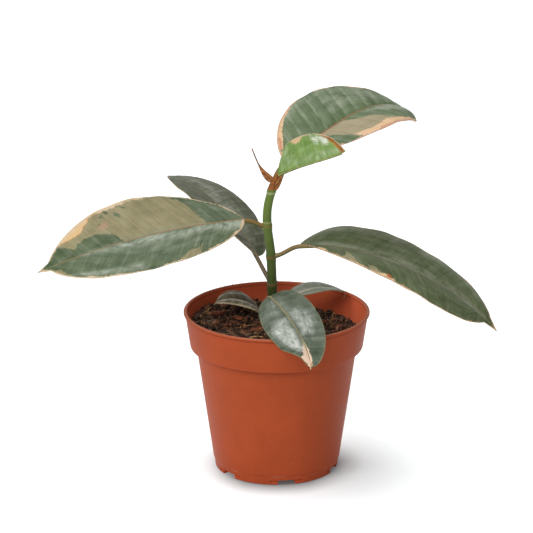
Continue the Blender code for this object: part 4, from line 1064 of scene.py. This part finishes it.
class PLANT_OT_pot(bpy.types.Operator):
    """The nursery pot: turned shell with a rolled lip, ledge, foot band and drain notches"""
    bl_idname = "plant.pot"
    bl_label = "Pot"

    def execute(self, context):
        sizes, colours = context.scene.plant_sizes, context.scene.plant_colours
        pot = turned("pot_shell", softened(pot_profile(sizes), 0.5), POT_SEGMENTS)
        boolean(pot, drain_cutter("covers", DRAIN_INNER_RADIUS, FOOT_RADIUS - 0.7, DRAIN_COVER_WIDTH,
                                  FLOOR - 0.5, DRAIN_COVER_HEIGHT), "UNION")
        # the pockets: boxes less a cone, so that they are wedges, deepest at the top
        inner, below = FOOT_RADIUS - RECESS_DEPTH, 3.0
        spread = RECESS_DEPTH * (RECESS_TOP + below) / (RECESS_TOP - RECESS_LOW)
        cone = turned("recess_cone", [(inner + spread, -below), (inner, RECESS_TOP), (inner, RECESS_TOP + 2)],
                      POT_SEGMENTS)
        pockets = drain_cutter("recess_boxes", 30.0, 50.0, RECESS_WIDTH, 1 - below, RECESS_TOP)
        boolean(pockets, cone, "DIFFERENCE")
        boolean(pot, pockets, "DIFFERENCE")
        boolean(pot, drain_cutter("channels", DRAIN_INNER_RADIUS + 1.2, 45.0, NOTCH_WIDTH, -1.0, NOTCH_HEIGHT,
                                  NOTCH_WIDTH + 2 * NOTCH_SLOPE), "DIFFERENCE")
        for angle in DRAIN_ANGLES:
            deselect()
            bpy.ops.mesh.primitive_cylinder_add(
                vertices=24, radius=DRAIN_HOLE_RADIUS * MM, depth=0.01,
                location=Vector((math.cos(angle), math.sin(angle), 4.0 / DRAIN_HOLE_CENTRE))
                * DRAIN_HOLE_CENTRE * MM)
            boolean(pot, named("drain_hole"), "DIFFERENCE")
        pot.data.materials.append(moulded_plastic("terracotta_polypropylene", colours.pot, False))
        pot.data.materials.append(moulded_plastic("soil_stained_polypropylene_painted_light_and_shade", colours.pot_inside_painted_light, True))
        for face in pot.data.polygons:
            centre = face.center
            inwards = face.normal.x * centre.x + face.normal.y * centre.y < 0
            if inwards and FLOOR * MM < centre.z < sizes.pot_height - 0.5 * MM:
                face.material_index = 1
        smooth(pot, 35.0)
        keep(pot, "pot_plastic", "pot")
        return {"FINISHED"}


# ---------------------------------------------------------------- soil and what lies on it
def soil_height(x, y):
    """Height of the soil's surface in millimetres at a place in the pot."""
    height = SOIL_LEVEL - SOIL_TILT * x
    for centre_x, centre_y, rise, spread in SOIL_MOUNDS:
        far = ((x - centre_x) ** 2 + (y - centre_y) ** 2) / (2 * spread ** 2)
        height += rise * math.exp(-far)
    return height + 0.5 * math.sin(0.55 * x + 1.0) * math.cos(0.48 * y - 0.6)


def inner_radius(height, sizes):
    """Inside radius of the pot's collar in millimetres at a height above its ledge."""
    rim, top, wall = sizes.rim_radius / MM, sizes.pot_height / MM, sizes.wall / MM
    low, high = COLLAR_RADIUS_LOW - wall, rim - LIP_PROUD - wall
    share = (height - LEDGE_HEIGHT - 2.1) / (top - LIP_HEIGHT - LEDGE_HEIGHT - 2.1)
    return low + (high - low) * share


def rough_soil_height(x, y):
    """The soil's surface with its lumps: clods 7 mm across, crumbs 2 mm across, fines 0.9 mm across."""
    place = Vector((x, y, 0.0))
    clods = noise.noise(place / 7.0) * 1.1
    crumbs = abs(noise.noise(place / 2.3 + Vector((9, 3, 1)))) * 1.7 - 0.5
    fines = noise.noise(place / 0.9 + Vector((4, 7, 2))) * 0.35
    return soil_height(x, y) + clods + crumbs + fines


def strewn(name, master, places, tones):
    """One mesh of many copies of a small shape, each set by its own matrix and given its own tone."""
    points = np.array([vert.co[:] for vert in master.data.vertices])
    faces = np.array([face.vertices[:] for face in master.data.polygons])
    every, cells, shades = [], [], []
    dice = random.Random(5)
    for number, (place, tone) in enumerate(zip(places, tones)):
        jitter = np.array([[dice.uniform(0.7, 1.25)] for _ in points])
        grid = np.array(place)
        every.append((points * jitter) @ grid[:3, :3].T + grid[:3, 3])
        cells.append(faces + number * len(points))
        shades += [tone] * len(points)
    mesh = bpy.data.meshes.new(name)
    mesh.from_pydata(np.concatenate(every).tolist(), [], np.concatenate(cells).tolist())
    master.data = mesh
    master.name = name
    mark(master, "tone", shades)
    return outward(master)


class PLANT_OT_soil(bpy.types.Operator):
    """The root ball's damp peat, with its clods and crumbs"""
    bl_idname = "plant.soil"
    bl_label = "Soil"

    def execute(self, context):
        sizes, colours = context.scene.plant_sizes, context.scene.plant_colours
        wall = sizes.wall / MM
        inner_ledge = LEDGE_HEIGHT + wall
        widest = inner_radius(SOIL_LEVEL, sizes) - GAP
        rings = 72
        profile = [(1.0, FLOOR + GAP), (FOOT_RADIUS - FOOT_WALL - 1.9, FLOOR + GAP),
                   (BODY_RADIUS_LOW - wall + 0.3 - GAP, FOOT_BAND_HEIGHT + 2.2),
                   (BODY_RADIUS_TOP - wall - GAP, LEDGE_HEIGHT - 1.4),
                   (BODY_RADIUS_TOP - wall - GAP, inner_ledge - 0.2),
                   (COLLAR_RADIUS_LOW - wall - 1.2, inner_ledge + 0.2 + GAP),
                   (COLLAR_RADIUS_LOW - wall - GAP, inner_ledge + 1.3)]
        profile += [(widest * k / rings, SOIL_LEVEL) for k in range(rings, 0, -1)]
        soil = turned("soil_surface", profile, SOIL_SEGMENTS)
        boolean(soil, drain_cutter("soil_drains", DRAIN_INNER_RADIUS - GAP, 45.0, DRAIN_COVER_WIDTH + 2 * GAP,
                                   0.5, DRAIN_COVER_HEIGHT + GAP), "DIFFERENCE")
        path = smooth_path(STEM_POINTS, 2.5)
        hole = bars("stem_hole", [(path, [stem_radius(p.z / MM) * MM + GAP * MM for p in path])])
        boolean(soil, hole, "DIFFERENCE")
        for vert in soil.data.vertices:
            if vert.co.z > (SOIL_LEVEL - 0.1) * MM:
                x, y = vert.co.x / MM, vert.co.y / MM
                reach = math.hypot(x, y)
                limit = inner_radius(rough_soil_height(x, y), sizes) - GAP
                if reach > limit - 0.4 or reach > widest - 0.4:
                    x, y = x * limit / reach, y * limit / reach
                vert.co = Vector((x, y, rough_soil_height(x, y))) * MM
        soil.data.materials.append(damp_peat("damp_peat", colours.soil))
        smooth(soil, 180.0)
        keep(soil, "soil", "soil")

        dice = random.Random(11)
        places, tones = [], []
        while len(places) < sizes.crumb_count:
            x, y = dice.uniform(-50, 50), dice.uniform(-50, 50)
            size = dice.choice(CRUMB_SIZES)
            height = rough_soil_height(x, y) + size * 0.25
            outside = math.hypot(x, y) > inner_radius(height, sizes) - 0.6 - size
            if outside or math.hypot(x + 2, y) < 3.2 + size:
                continue
            turn = Matrix.Rotation(dice.uniform(0, 6.28), 4,
                                   (dice.uniform(-1, 1), dice.uniform(-1, 1), 1.0))
            length = dice.choice(CRUMB_LENGTHS)
            stretch = Matrix.Diagonal((length, dice.uniform(0.6, 1.0) / length ** 0.4,
                                       dice.uniform(0.3, 0.8), 1))
            places.append(Matrix.Translation(Vector((x, y, height)) * MM) @ turn @ stretch
                          @ Matrix.Scale(size * MM, 4))
            tones.append(dice.choice(CRUMB_TONES))
        for x, y, height, size in RIM_CRUMBS:
            places.append(Matrix.Translation(Vector((x, y, height)) * MM) @ Matrix.Scale(size * MM, 4))
            tones.append(1.0)
        deselect()
        bpy.ops.mesh.primitive_ico_sphere_add(subdivisions=1, radius=1.0)
        crumbs = strewn("soil_crumbs", bpy.context.object, places, tones)
        crumbs.data.materials.append(loose_bits("peat_crumbs", linear("#765036"), 0.8, 1.0))
        keep(crumbs, "soil")
        return {"FINISHED"}


def lying(x, y, turn, tip, thickness):
    """Where a piece lies on the soil: turned about Z, tipped a little, and sunk to rest among the crumbs."""
    height = max(rough_soil_height(x + a, y + b) for a in (-1, 0, 1) for b in (-1, 0, 1))
    return (Matrix.Translation(Vector((x, y, height + thickness * 0.35)) * MM)
            @ Matrix.Rotation(math.radians(turn), 4, "Z") @ Matrix.Rotation(math.radians(tip), 4, "Y"))


class PLANT_OT_litter(bpy.types.Operator):
    """Bark chips, straws and fine fibres lying on the soil"""
    bl_idname = "plant.litter"
    bl_label = "Bark and straw"

    def execute(self, context):
        sizes, colours = context.scene.plant_sizes, context.scene.plant_colours
        dice = random.Random(3)
        noise.seed_set(3)  # noise_vector takes its places from the clock until it is seeded
        chips = []
        for number, (x, y, turn, length, width, thickness) in enumerate(BARK_CHIPS):
            deselect()
            bpy.ops.mesh.primitive_cube_add(size=1.0)
            chip = named("chip")
            bpy.ops.object.mode_set(mode="EDIT")
            bpy.ops.mesh.select_all(action="SELECT")
            bpy.ops.mesh.subdivide(number_cuts=5)
            bpy.ops.object.mode_set(mode="OBJECT")
            for vert in chip.data.vertices:
                slim = (0.75 + 0.25 * (0.5 - vert.co.x)) * (1 - 2.2 * vert.co.x ** 2)
                place = Vector((vert.co.x * length, vert.co.y * width * slim, vert.co.z * thickness))
                torn = noise.noise_vector(place / 1.4 + Vector((number * 7, 0, 0)))
                layers = noise.noise(Vector((place.x / 3, place.y / 0.5, number))) * 0.2
                vert.co = (place + torn * 0.5 + Vector((0, 0, layers))) * MM
            mark(chip, "tone", [CHIP_TONES[number]] * len(chip.data.vertices))
            chip.matrix_world = lying(x, y, turn, dice.uniform(-8, 8), thickness)
            chips.append(apply_all(chip))
        bark = outward(join("bark_chips", chips))
        bark.data.materials.append(loose_bits("pine_bark", colours.bark, 0.7, 3.0))
        smooth(bark, 30.0)
        keep(bark, "bark", *[f"bark_chip_{k + 1}" for k in range(len(BARK_CHIPS))])

        runs = []
        for number, (x, y, turn, length, radius) in enumerate(STRAWS):
            place = lying(x, y, turn, dice.uniform(-4, 4) if number else -14.0, radius * 2)
            points = [place @ (Vector((length * (k / 10 - 0.5), 0.35 * math.sin(k * 0.7),
                                       0.3 * math.sin(k * 0.5))) * MM) for k in range(11)]
            runs.append((points, [radius * (1.0 - 0.03 * k) * MM for k in range(11)]))
        straws = bars("straw_bits", runs, 3)
        mark(straws, "tone", [STRAW_TONE] * len(straws.data.vertices))
        straws.data.materials.append(loose_bits("dry_straw", colours.straw, 0.6, 1.0))
        smooth(straws, 50.0)
        keep(straws, "straw", *[f"straw_{k + 1}" for k in range(len(STRAWS))])

        runs = []
        while len(runs) < sizes.fibre_count:
            x, y = dice.uniform(-46, 46), dice.uniform(-46, 46)
            if math.hypot(x, y) > 43 or math.hypot(x + 2, y) < 6:
                continue
            length, turn, bow = dice.uniform(3, 9), dice.uniform(0, 360), dice.uniform(-1.2, 1.2)
            place = lying(x, y, turn, dice.uniform(-25, 25), 0.6)
            points = [place @ (Vector((length * (k / 6 - 0.5), bow * math.sin(k * 0.52),
                                       0.2 * math.sin(k))) * MM) for k in range(7)]
            thin = dice.uniform(0.09, 0.22)
            runs.append((points, [thin * MM] * 7))
        fibres = bars("fibres", runs, 0)
        mark(fibres, "tone", [dice.uniform(0.2, 0.8) for _ in fibres.data.vertices])
        fibres.data.materials.append(loose_bits("root_fibres", linear("#A8805A"), 1.0, 1.0))
        keep(fibres, "straw")
        return {"FINISHED"}


# ---------------------------------------------------------------- stem
def stem_radius(height):
    """The finished stem's radius in millimetres: it tapers upwards and swells at each leaf scar."""
    left = ramp(height, STEM_POINTS[-1][2], STEM_POINTS[0][2])
    radius = STEM_TOP_RADIUS + (STEM_BOTTOM_RADIUS - STEM_TOP_RADIUS) * math.sqrt(left) + STEM_BARK
    for scar in STEM_NODES:
        radius += STEM_NODE_SWELL * math.exp(-((height - scar) / 2.0) ** 2)
    return radius


class PLANT_OT_stem(bpy.types.Operator):
    """The stem, with its ringed leaf scars, faint lumps and corky pores"""
    bl_idname = "plant.stem"
    bl_label = "Stem"

    def execute(self, context):
        colours = context.scene.plant_colours
        path = smooth_path(STEM_POINTS, 0.45)
        radii = []
        for point in path:
            height = point.z / MM
            ring = sum(0.16 * math.exp(-((height - scar - 0.9) / 0.35) ** 2) for scar in STEM_NODES)
            neck = NECK_THINNING * ramp(height, NECK_STARTS, NECK_ENDS)
            radii.append((stem_radius(height) + ring - neck) * MM)
        stem = bars("stem_bark", [(path, radii)], 10)
        for vert in stem.data.vertices:
            height = vert.co.z / MM
            middle = min(path, key=lambda p: abs(p.z - vert.co.z))
            out = Vector((vert.co.x - middle.x, vert.co.y - middle.y, 0))
            turn = math.atan2(out.y, out.x)
            lumps = noise.noise(Vector((math.cos(turn) * 2, math.sin(turn) * 2, height / 4)))
            vert.co += out.normalized() * lumps * 0.07 * MM if out.length > 0 else Vector()
        stem.data.materials.append(green_bark("green_fig_bark", colours.stem_low, colours.stem_high))
        smooth(stem, 60.0)
        keep(stem, "stem_bark", "stem")
        return {"FINISHED"}


# ---------------------------------------------------------------- leaves
class Spine:
    """A blade's midrib, with an even measure along it and a frame at each place."""

    def __init__(self, leaf):
        ends = (leaf["base"], *leaf["handles"], leaf["tip"])
        self.points = interpolate_bezier(*[Vector(point) * MM for point in ends], 121)
        self.roll = leaf["roll"]
        self.marks = [0.0]
        for start, end in zip(self.points, self.points[1:]):
            self.marks.append(self.marks[-1] + (end - start).length)
        self.length = self.marks[-1] / MM

    def point(self, share):
        distance = share * self.marks[-1]
        for k in range(1, len(self.marks)):
            if self.marks[k] >= distance or k == len(self.marks) - 1:
                part = (distance - self.marks[k - 1]) / (self.marks[k] - self.marks[k - 1])
                return self.points[k - 1].lerp(self.points[k], part)

    def frame(self, share):
        """Tangent, upper normal and right-hand side at a share of the length."""
        tangent = (self.point(min(share + 0.02, 1.0)) - self.point(max(share - 0.02, 0.0))).normalized()
        flat = Vector((0, 0, 1)) - tangent * tangent.z
        normal = flat.normalized()
        side = tangent.cross(normal)
        roll = math.radians(self.roll[0] + (self.roll[1] - self.roll[0]) * share)
        return (tangent,
                normal * math.cos(roll) + side * math.sin(roll),
                side * math.cos(roll) - normal * math.sin(roll))


def half_width(leaf, half, share):
    """Half the blade's width at a share of its length: a full oval with a narrow drip tip."""
    widest, place, _, _ = leaf[half]
    drip_length, drip_width = leaf["drip"]
    fall = leaf["fullness"][half == "right"]
    rise = fall * place / (1 - place)
    along = min(share / (1 - 0.8 * drip_length), 1.0)
    oval = (along ** rise * (1 - along) ** fall) / (place ** rise * (1 - place) ** fall)
    tail = drip_width * min((1 - share) / drip_length, 1.0) * ramp(share, 0.5, 0.8)
    width = widest * math.hypot(oval, tail)
    if "nick" in leaf:
        *lost, start, end = leaf["nick"]
        width *= 1 - lost[half == "right"] * eased(ramp(share, start, end))
    if "blunt" in leaf:
        width *= math.sqrt(1 - ramp(share, *leaf["blunt"]) ** 2)
    if "taper" in leaf:
        width *= min(share / leaf["taper"], 1.0) ** 0.4
    return max(width, LEAF_LEAST_HALF_WIDTH)


def depth_in(outline, along, across):
    """How far inside an outline each place is, in the outline's own measure; below 0 is outside."""
    corners = np.array(outline)
    inside = np.zeros(along.shape, bool)
    nearest = np.full(along.shape, 1e9)
    for (x1, y1), (x2, y2) in zip(corners, np.roll(corners, -1, axis=0)):
        crosses = (y1 > across) != (y2 > across)
        with np.errstate(divide="ignore", invalid="ignore"):
            inside ^= crosses & (along < (x2 - x1) * (across - y1) / (y2 - y1) + x1)
        length = max((x2 - x1) ** 2 + (y2 - y1) ** 2, 1e-9)
        part = np.clip(((along - x1) * (x2 - x1) + (across - y1) * (y2 - y1)) / length, 0, 1)
        nearest = np.minimum(nearest, np.hypot(along - x1 - part * (x2 - x1), across - y1 - part * (y2 - y1)))
    return np.where(inside, nearest, -nearest)


def patch_depth(outlines, greens, length, width, share, across):
    """Depth in millimetres inside the nearest of a blade's patches, less the green that lies over them."""
    size = np.array((length, width))
    depth = np.full(share.shape, -30.0)
    for outline in outlines:
        depth = np.maximum(depth, depth_in(np.array(outline) * size, share * length, across * width))
    for outline in greens:
        depth = np.minimum(depth, -depth_in(np.array(outline) * size, share * length, across * width))
    return depth


def blade_grid(name, leaf, look, cells, thickness):
    """The blade: a fine grid laid along its midrib, swelling between its side veins, with its measures."""
    spine = Spine(leaf)
    long_way, cross_way = cells
    deselect()
    bpy.ops.mesh.primitive_grid_add(x_subdivisions=long_way, y_subdivisions=cross_way, size=2.0)
    item = named(name)
    rib_height, rib_spacing = look["ribs"]
    frames = {}
    shares, acrosses, blade = [], [], []
    for vert in item.data.vertices:
        even = (vert.co.x + 1) / 2
        share = 0.55 * even + 0.45 * (0.5 - 0.5 * math.cos(math.pi * even))
        share *= leaf.get("blunt", (0.0, 1.0))[1]
        across = -vert.co.y
        key = round(vert.co.x, 5)
        if key not in frames:
            frames[key] = (spine.point(share), *spine.frame(share),
                           half_width(leaf, "left", share), half_width(leaf, "right", share))
        centre, _, normal, side, left_width, right_width = frames[key]
        half = "right" if across > 0 else "left"
        width = right_width if across > 0 else left_width
        _, _, lift, bend = leaf[half]
        bend += leaf.get("curl", (0, 0))[half == "right"] * eased(ramp(share, 0.55, 0.9))
        lift, bend = math.radians(lift), math.radians(bend) or 0.001
        reach = abs(across)
        out = (math.sin(lift) - math.sin(lift - bend * reach)) / bend
        up = (math.cos(lift - bend * reach) - math.cos(lift)) / bend
        here = reach * width
        lean = share * spine.length - look["lean"][half == "right"] * here
        swell = rib_height * (abs(math.sin(math.pi * lean / rib_spacing)) ** 0.7 - 0.6)
        swell *= min(here / 3.0, 1.0) * min((1 - reach) * 6.0, 1.0) * min(share * 8, (1 - share) * 6, 1.0)
        wave = noise.noise(Vector((share * spine.length / 13.0, 7.0 if across > 0 else 3.0, len(name))))
        swell += wave * 0.8 * reach ** 4 * min(width / 20.0, 1.0)
        furrow = -0.35 * math.exp(-(here / 1.3) ** 2) * min(width / 8.0, 1.0)
        vert.co = (centre + side * math.copysign(out * width, across) * MM
                   + normal * (up * width + swell + furrow) * MM)
        shares.append(share)
        acrosses.append(across)
        margin_shares, *margin_widths = zip(*look["margins"])
        pale = np.interp(share, margin_shares, margin_widths[half == "right"])
        inset = min((1 - reach) * width, (1 - share) * spine.length * 0.8)
        blade += [share * spine.length, math.copysign(here, across), inset / max(float(pale), 0.05)]
    shares, acrosses = np.array(shares), np.array(acrosses)
    widest = max(leaf["left"][0], leaf["right"][0])
    zones = [patch_depth(look[kind], look["green"] if kind != "blush" else (), spine.length, widest, shares,
                         acrosses) for kind in ("beige", "cream", "blush")]
    painted_sheen = np.zeros(shares.shape)
    for outline, soft, strength in look["painted_sheen"]:
        depth = patch_depth((outline,), (), spine.length, widest, shares, acrosses)
        painted_sheen = np.maximum(painted_sheen, strength * np.clip(depth / soft + 0.5, 0, 1))
    mark(item, "painted_sheen", painted_sheen.astype(np.float32))
    mark(item, "blade", blade, "FLOAT_VECTOR")
    mark(item, "zones", np.stack(zones, axis=1).astype(np.float32).ravel(), "FLOAT_VECTOR")
    outward(item, merge=False)
    middle = item.data.polygons[len(item.data.polygons) // 2]
    if middle.normal.dot(spine.frame(0.5)[1]) < 0:
        item.data.flip_normals()
    shell = item.modifiers.new("thickness", "SOLIDIFY")
    shell.thickness = thickness
    shell.offset = -1.0
    shell.material_offset = 1
    return item, spine


def stalk_run(leaf, spine):
    """The stalk's centre from the stem to the blade, then under the blade as its midrib."""
    radius = leaf["stalk_radius"]
    start, way = Vector(leaf["stalk"][0]) * MM, Vector(leaf["stalk"][1])
    tangent, normal, _ = spine.frame(0.0)
    base = spine.point(0.0) - normal * (radius + 0.1) * MM
    reach = (base - start).length / 2.5
    path = interpolate_bezier(start, start + way.normalized() * reach, base - tangent * reach, base, 25)
    radii = [radius * (1.0 + 0.25 * math.exp(-(k / 4.0) ** 2)) * MM for k in range(len(path))]
    rows = 40
    for k in range(1, rows + 1):
        share = MIDRIB_END * k / rows
        normal = spine.frame(share)[1]
        thin = radius + (MIDRIB_END_RADIUS - radius) * (k / rows) ** 0.6
        path.append(spine.point(share) - normal * (thin + 0.25) * MM)
        radii.append(thin * MM)
    return path, radii


class PLANT_OT_leaves(bpy.types.Operator):
    """The leaves: each a waxy veined blade with its midrib and stalk"""
    bl_idname = "plant.leaves"
    bl_label = "Leaves"

    def execute(self, context):
        thickness = context.scene.plant_sizes.leaf_thickness
        for name, leaf in LEAVES.items():
            look = {**PLAIN_LOOK, **LOOKS[name]}
            wide = max(leaf["left"][0], leaf["right"][0]) > WIDE_BLADE
            cells = FINE_CELLS if wide else COARSE_CELLS
            item, spine = blade_grid(name + "_blade", leaf, look, cells, thickness)
            for side, under in (("_waxy_skin", False), ("_under_skin", name != "leaf_young")):
                item.data.materials.append(waxy_blade(name + side, look, spine.length, under))
            apply_all(item)
            smooth(item, 60.0)
            runs = [stalk_run(leaf, spine)]
            if "hook" in leaf:
                path = smooth_path(leaf["hook"], 0.4)
                runs.append((path, [(0.75 - 0.45 * k / len(path)) * MM for k in range(len(path))]))
            stalk = bars(name + "_stalk", runs, 6)
            colours = [linear(c) for c in look["stalk_colours"]]
            stalk.data.materials.append(stalk_skin(name + "_stalk_skin", *colours))
            smooth(stalk, 60.0)
            keep(join(name + "_detailed", [item, stalk]), leaf["slot"], name)
        return {"FINISHED"}


class PLANT_OT_stipules(bpy.types.Operator):
    """The dry papery sheaths at the neck of the stem"""
    bl_idname = "plant.stipules"
    bl_label = "Dry sheaths"

    def execute(self, context):
        colour = context.scene.plant_colours.sheath
        skin = dry_sheath("dry_papery_sheath", colour)
        for name, leaf in STIPULES.items():
            item, _ = blade_grid(name + "_paper", leaf, PLAIN_LOOK, PAPER_CELLS, PAPER_THICKNESS * MM)
            item.data.materials.append(skin)
            item.data.materials.append(skin)
            apply_all(item)
            smooth(item, 60.0)
            if name == "stipule_right":
                # the part of the sheath that still wraps the neck
                path = smooth_path([point[:3] for point in NECK], 0.4)
                heights, sizes = [ring[2] for ring in NECK], [ring[3] for ring in NECK]
                radii = [float(np.interp(point.z / MM, heights, sizes)) * MM for point in path]
                wrap = bars("neck_wrap", [(path, radii)], 8)
                measures = []
                for vert in wrap.data.vertices:
                    turn = math.atan2(vert.co.y, vert.co.x + 1.4 * MM)
                    out = Vector((math.cos(turn), math.sin(turn), 0))
                    creases = noise.noise(out * 3 + Vector((0, 0, vert.co.z / MM / 9)))
                    vert.co += out * creases * 0.35 * MM
                    measures += [vert.co.z / MM, turn * 2.2, 5.0]
                mark(wrap, "blade", measures, "FLOAT_VECTOR")
                # darker and yellower where it clasps the green stem
                clasping = [c * f for c, f in zip(colour, (0.68, 0.64, 0.42))]
                wrap.data.materials.append(dry_sheath("clasping_sheath", clasping))
                smooth(wrap, 60.0)
                item = join(name + "_paper", [item, wrap])
            keep(item, "stipule_dry", name)
        return {"FINISHED"}


# ---------------------------------------------------------------- stage
class PLANT_OT_stage(bpy.types.Operator):
    """White studio floor, soft light from above and the left, and the camera"""
    bl_idname = "plant.stage"
    bl_label = "Studio"

    def execute(self, context):
        scene = context.scene
        deselect()
        bpy.ops.mesh.primitive_plane_add(size=12.0, location=(0, 0, -0.0001))
        floor = named("studio_floor")
        bpy.ops.object.transform_apply()
        floor.data.materials.append(studio_paper("seamless_paper", scene.plant_colours.floor))

        world = bpy.data.worlds.new("studio")
        scene.world = world
        world.use_nodes = True
        tree = world.node_tree
        rays = add(tree, "LightPath").outputs
        seen = add(tree, "Math", (rays["Is Camera Ray"], rays["Is Transmission Ray"]), operation="MAXIMUM")
        room = add(tree, "MapRange", (rays["Is Glossy Ray"], 0.0, 1.0, 0.20, 0.5))
        strength = add(tree, "Math", (room, seen), operation="MAXIMUM")
        feed(tree, tree.nodes["Background"], {"Color": (1.0, 1.0, 1.0), "Strength": strength})

        for name, place, spread, strength in LAMPS:
            deselect()
            bpy.ops.object.light_add(type="SUN", location=place)
            lamp = named(name)
            lamp.data.angle = math.radians(spread)
            lamp.data.energy = strength
            lamp.rotation_euler = (-Vector(place)).to_track_quat("-Z", "Y").to_euler()

        rise, level = math.sin(CAMERA_TILT), math.cos(CAMERA_TILT)
        bpy.ops.object.camera_add()
        camera = named("camera")
        place = Vector(CAMERA_AIM) - CAMERA_DISTANCE * Vector((0, level, -rise))
        camera.matrix_world = (Matrix.Translation(place)
                               @ Matrix(((1, 0, 0), (0, rise, -level), (0, level, rise))).to_4x4())
        camera.data.lens = CAMERA_LENS
        camera.data.sensor_width = 36.0
        camera.data.clip_end = 20.0
        scene.camera = camera
        scene.view_settings.view_transform = "Standard"
        return {"FINISHED"}


class PLANT_PT_panel(bpy.types.Panel):
    """The settings and the steps, in the order in which they are run"""
    bl_label = "Rubber plant"
    bl_idname = "PLANT_PT_panel"
    bl_space_type = "VIEW_3D"
    bl_region_type = "UI"
    bl_category = "Rubber plant"

    def draw(self, context):
        for settings in (context.scene.plant_sizes, context.scene.plant_colours):
            box = self.layout.box()
            for name in settings.__annotations__:
                box.prop(settings, name)
        for step in STEPS:
            self.layout.operator(step.bl_idname)


SETTINGS = (PlantSizes, PlantColours)
STEPS = (PLANT_OT_stage, PLANT_OT_pot, PLANT_OT_soil, PLANT_OT_litter, PLANT_OT_stem, PLANT_OT_leaves,
         PLANT_OT_stipules)


def register():
    for kind in (*SETTINGS, *STEPS, PLANT_PT_panel):
        bpy.utils.register_class(kind)
    bpy.types.Scene.plant_sizes = bpy.props.PointerProperty(type=PlantSizes)
    bpy.types.Scene.plant_colours = bpy.props.PointerProperty(type=PlantColours)


def unregister():
    del bpy.types.Scene.plant_colours
    del bpy.types.Scene.plant_sizes
    for kind in reversed((*SETTINGS, *STEPS, PLANT_PT_panel)):
        bpy.utils.unregister_class(kind)


def main():
    register()
    bpy.ops.plant.stage()
    bpy.ops.plant.pot()
    bpy.ops.plant.soil()
    bpy.ops.plant.litter()
    bpy.ops.plant.stem()
    bpy.ops.plant.leaves()
    bpy.ops.plant.stipules()
    deselect()


if __name__ == "__main__":
    main()
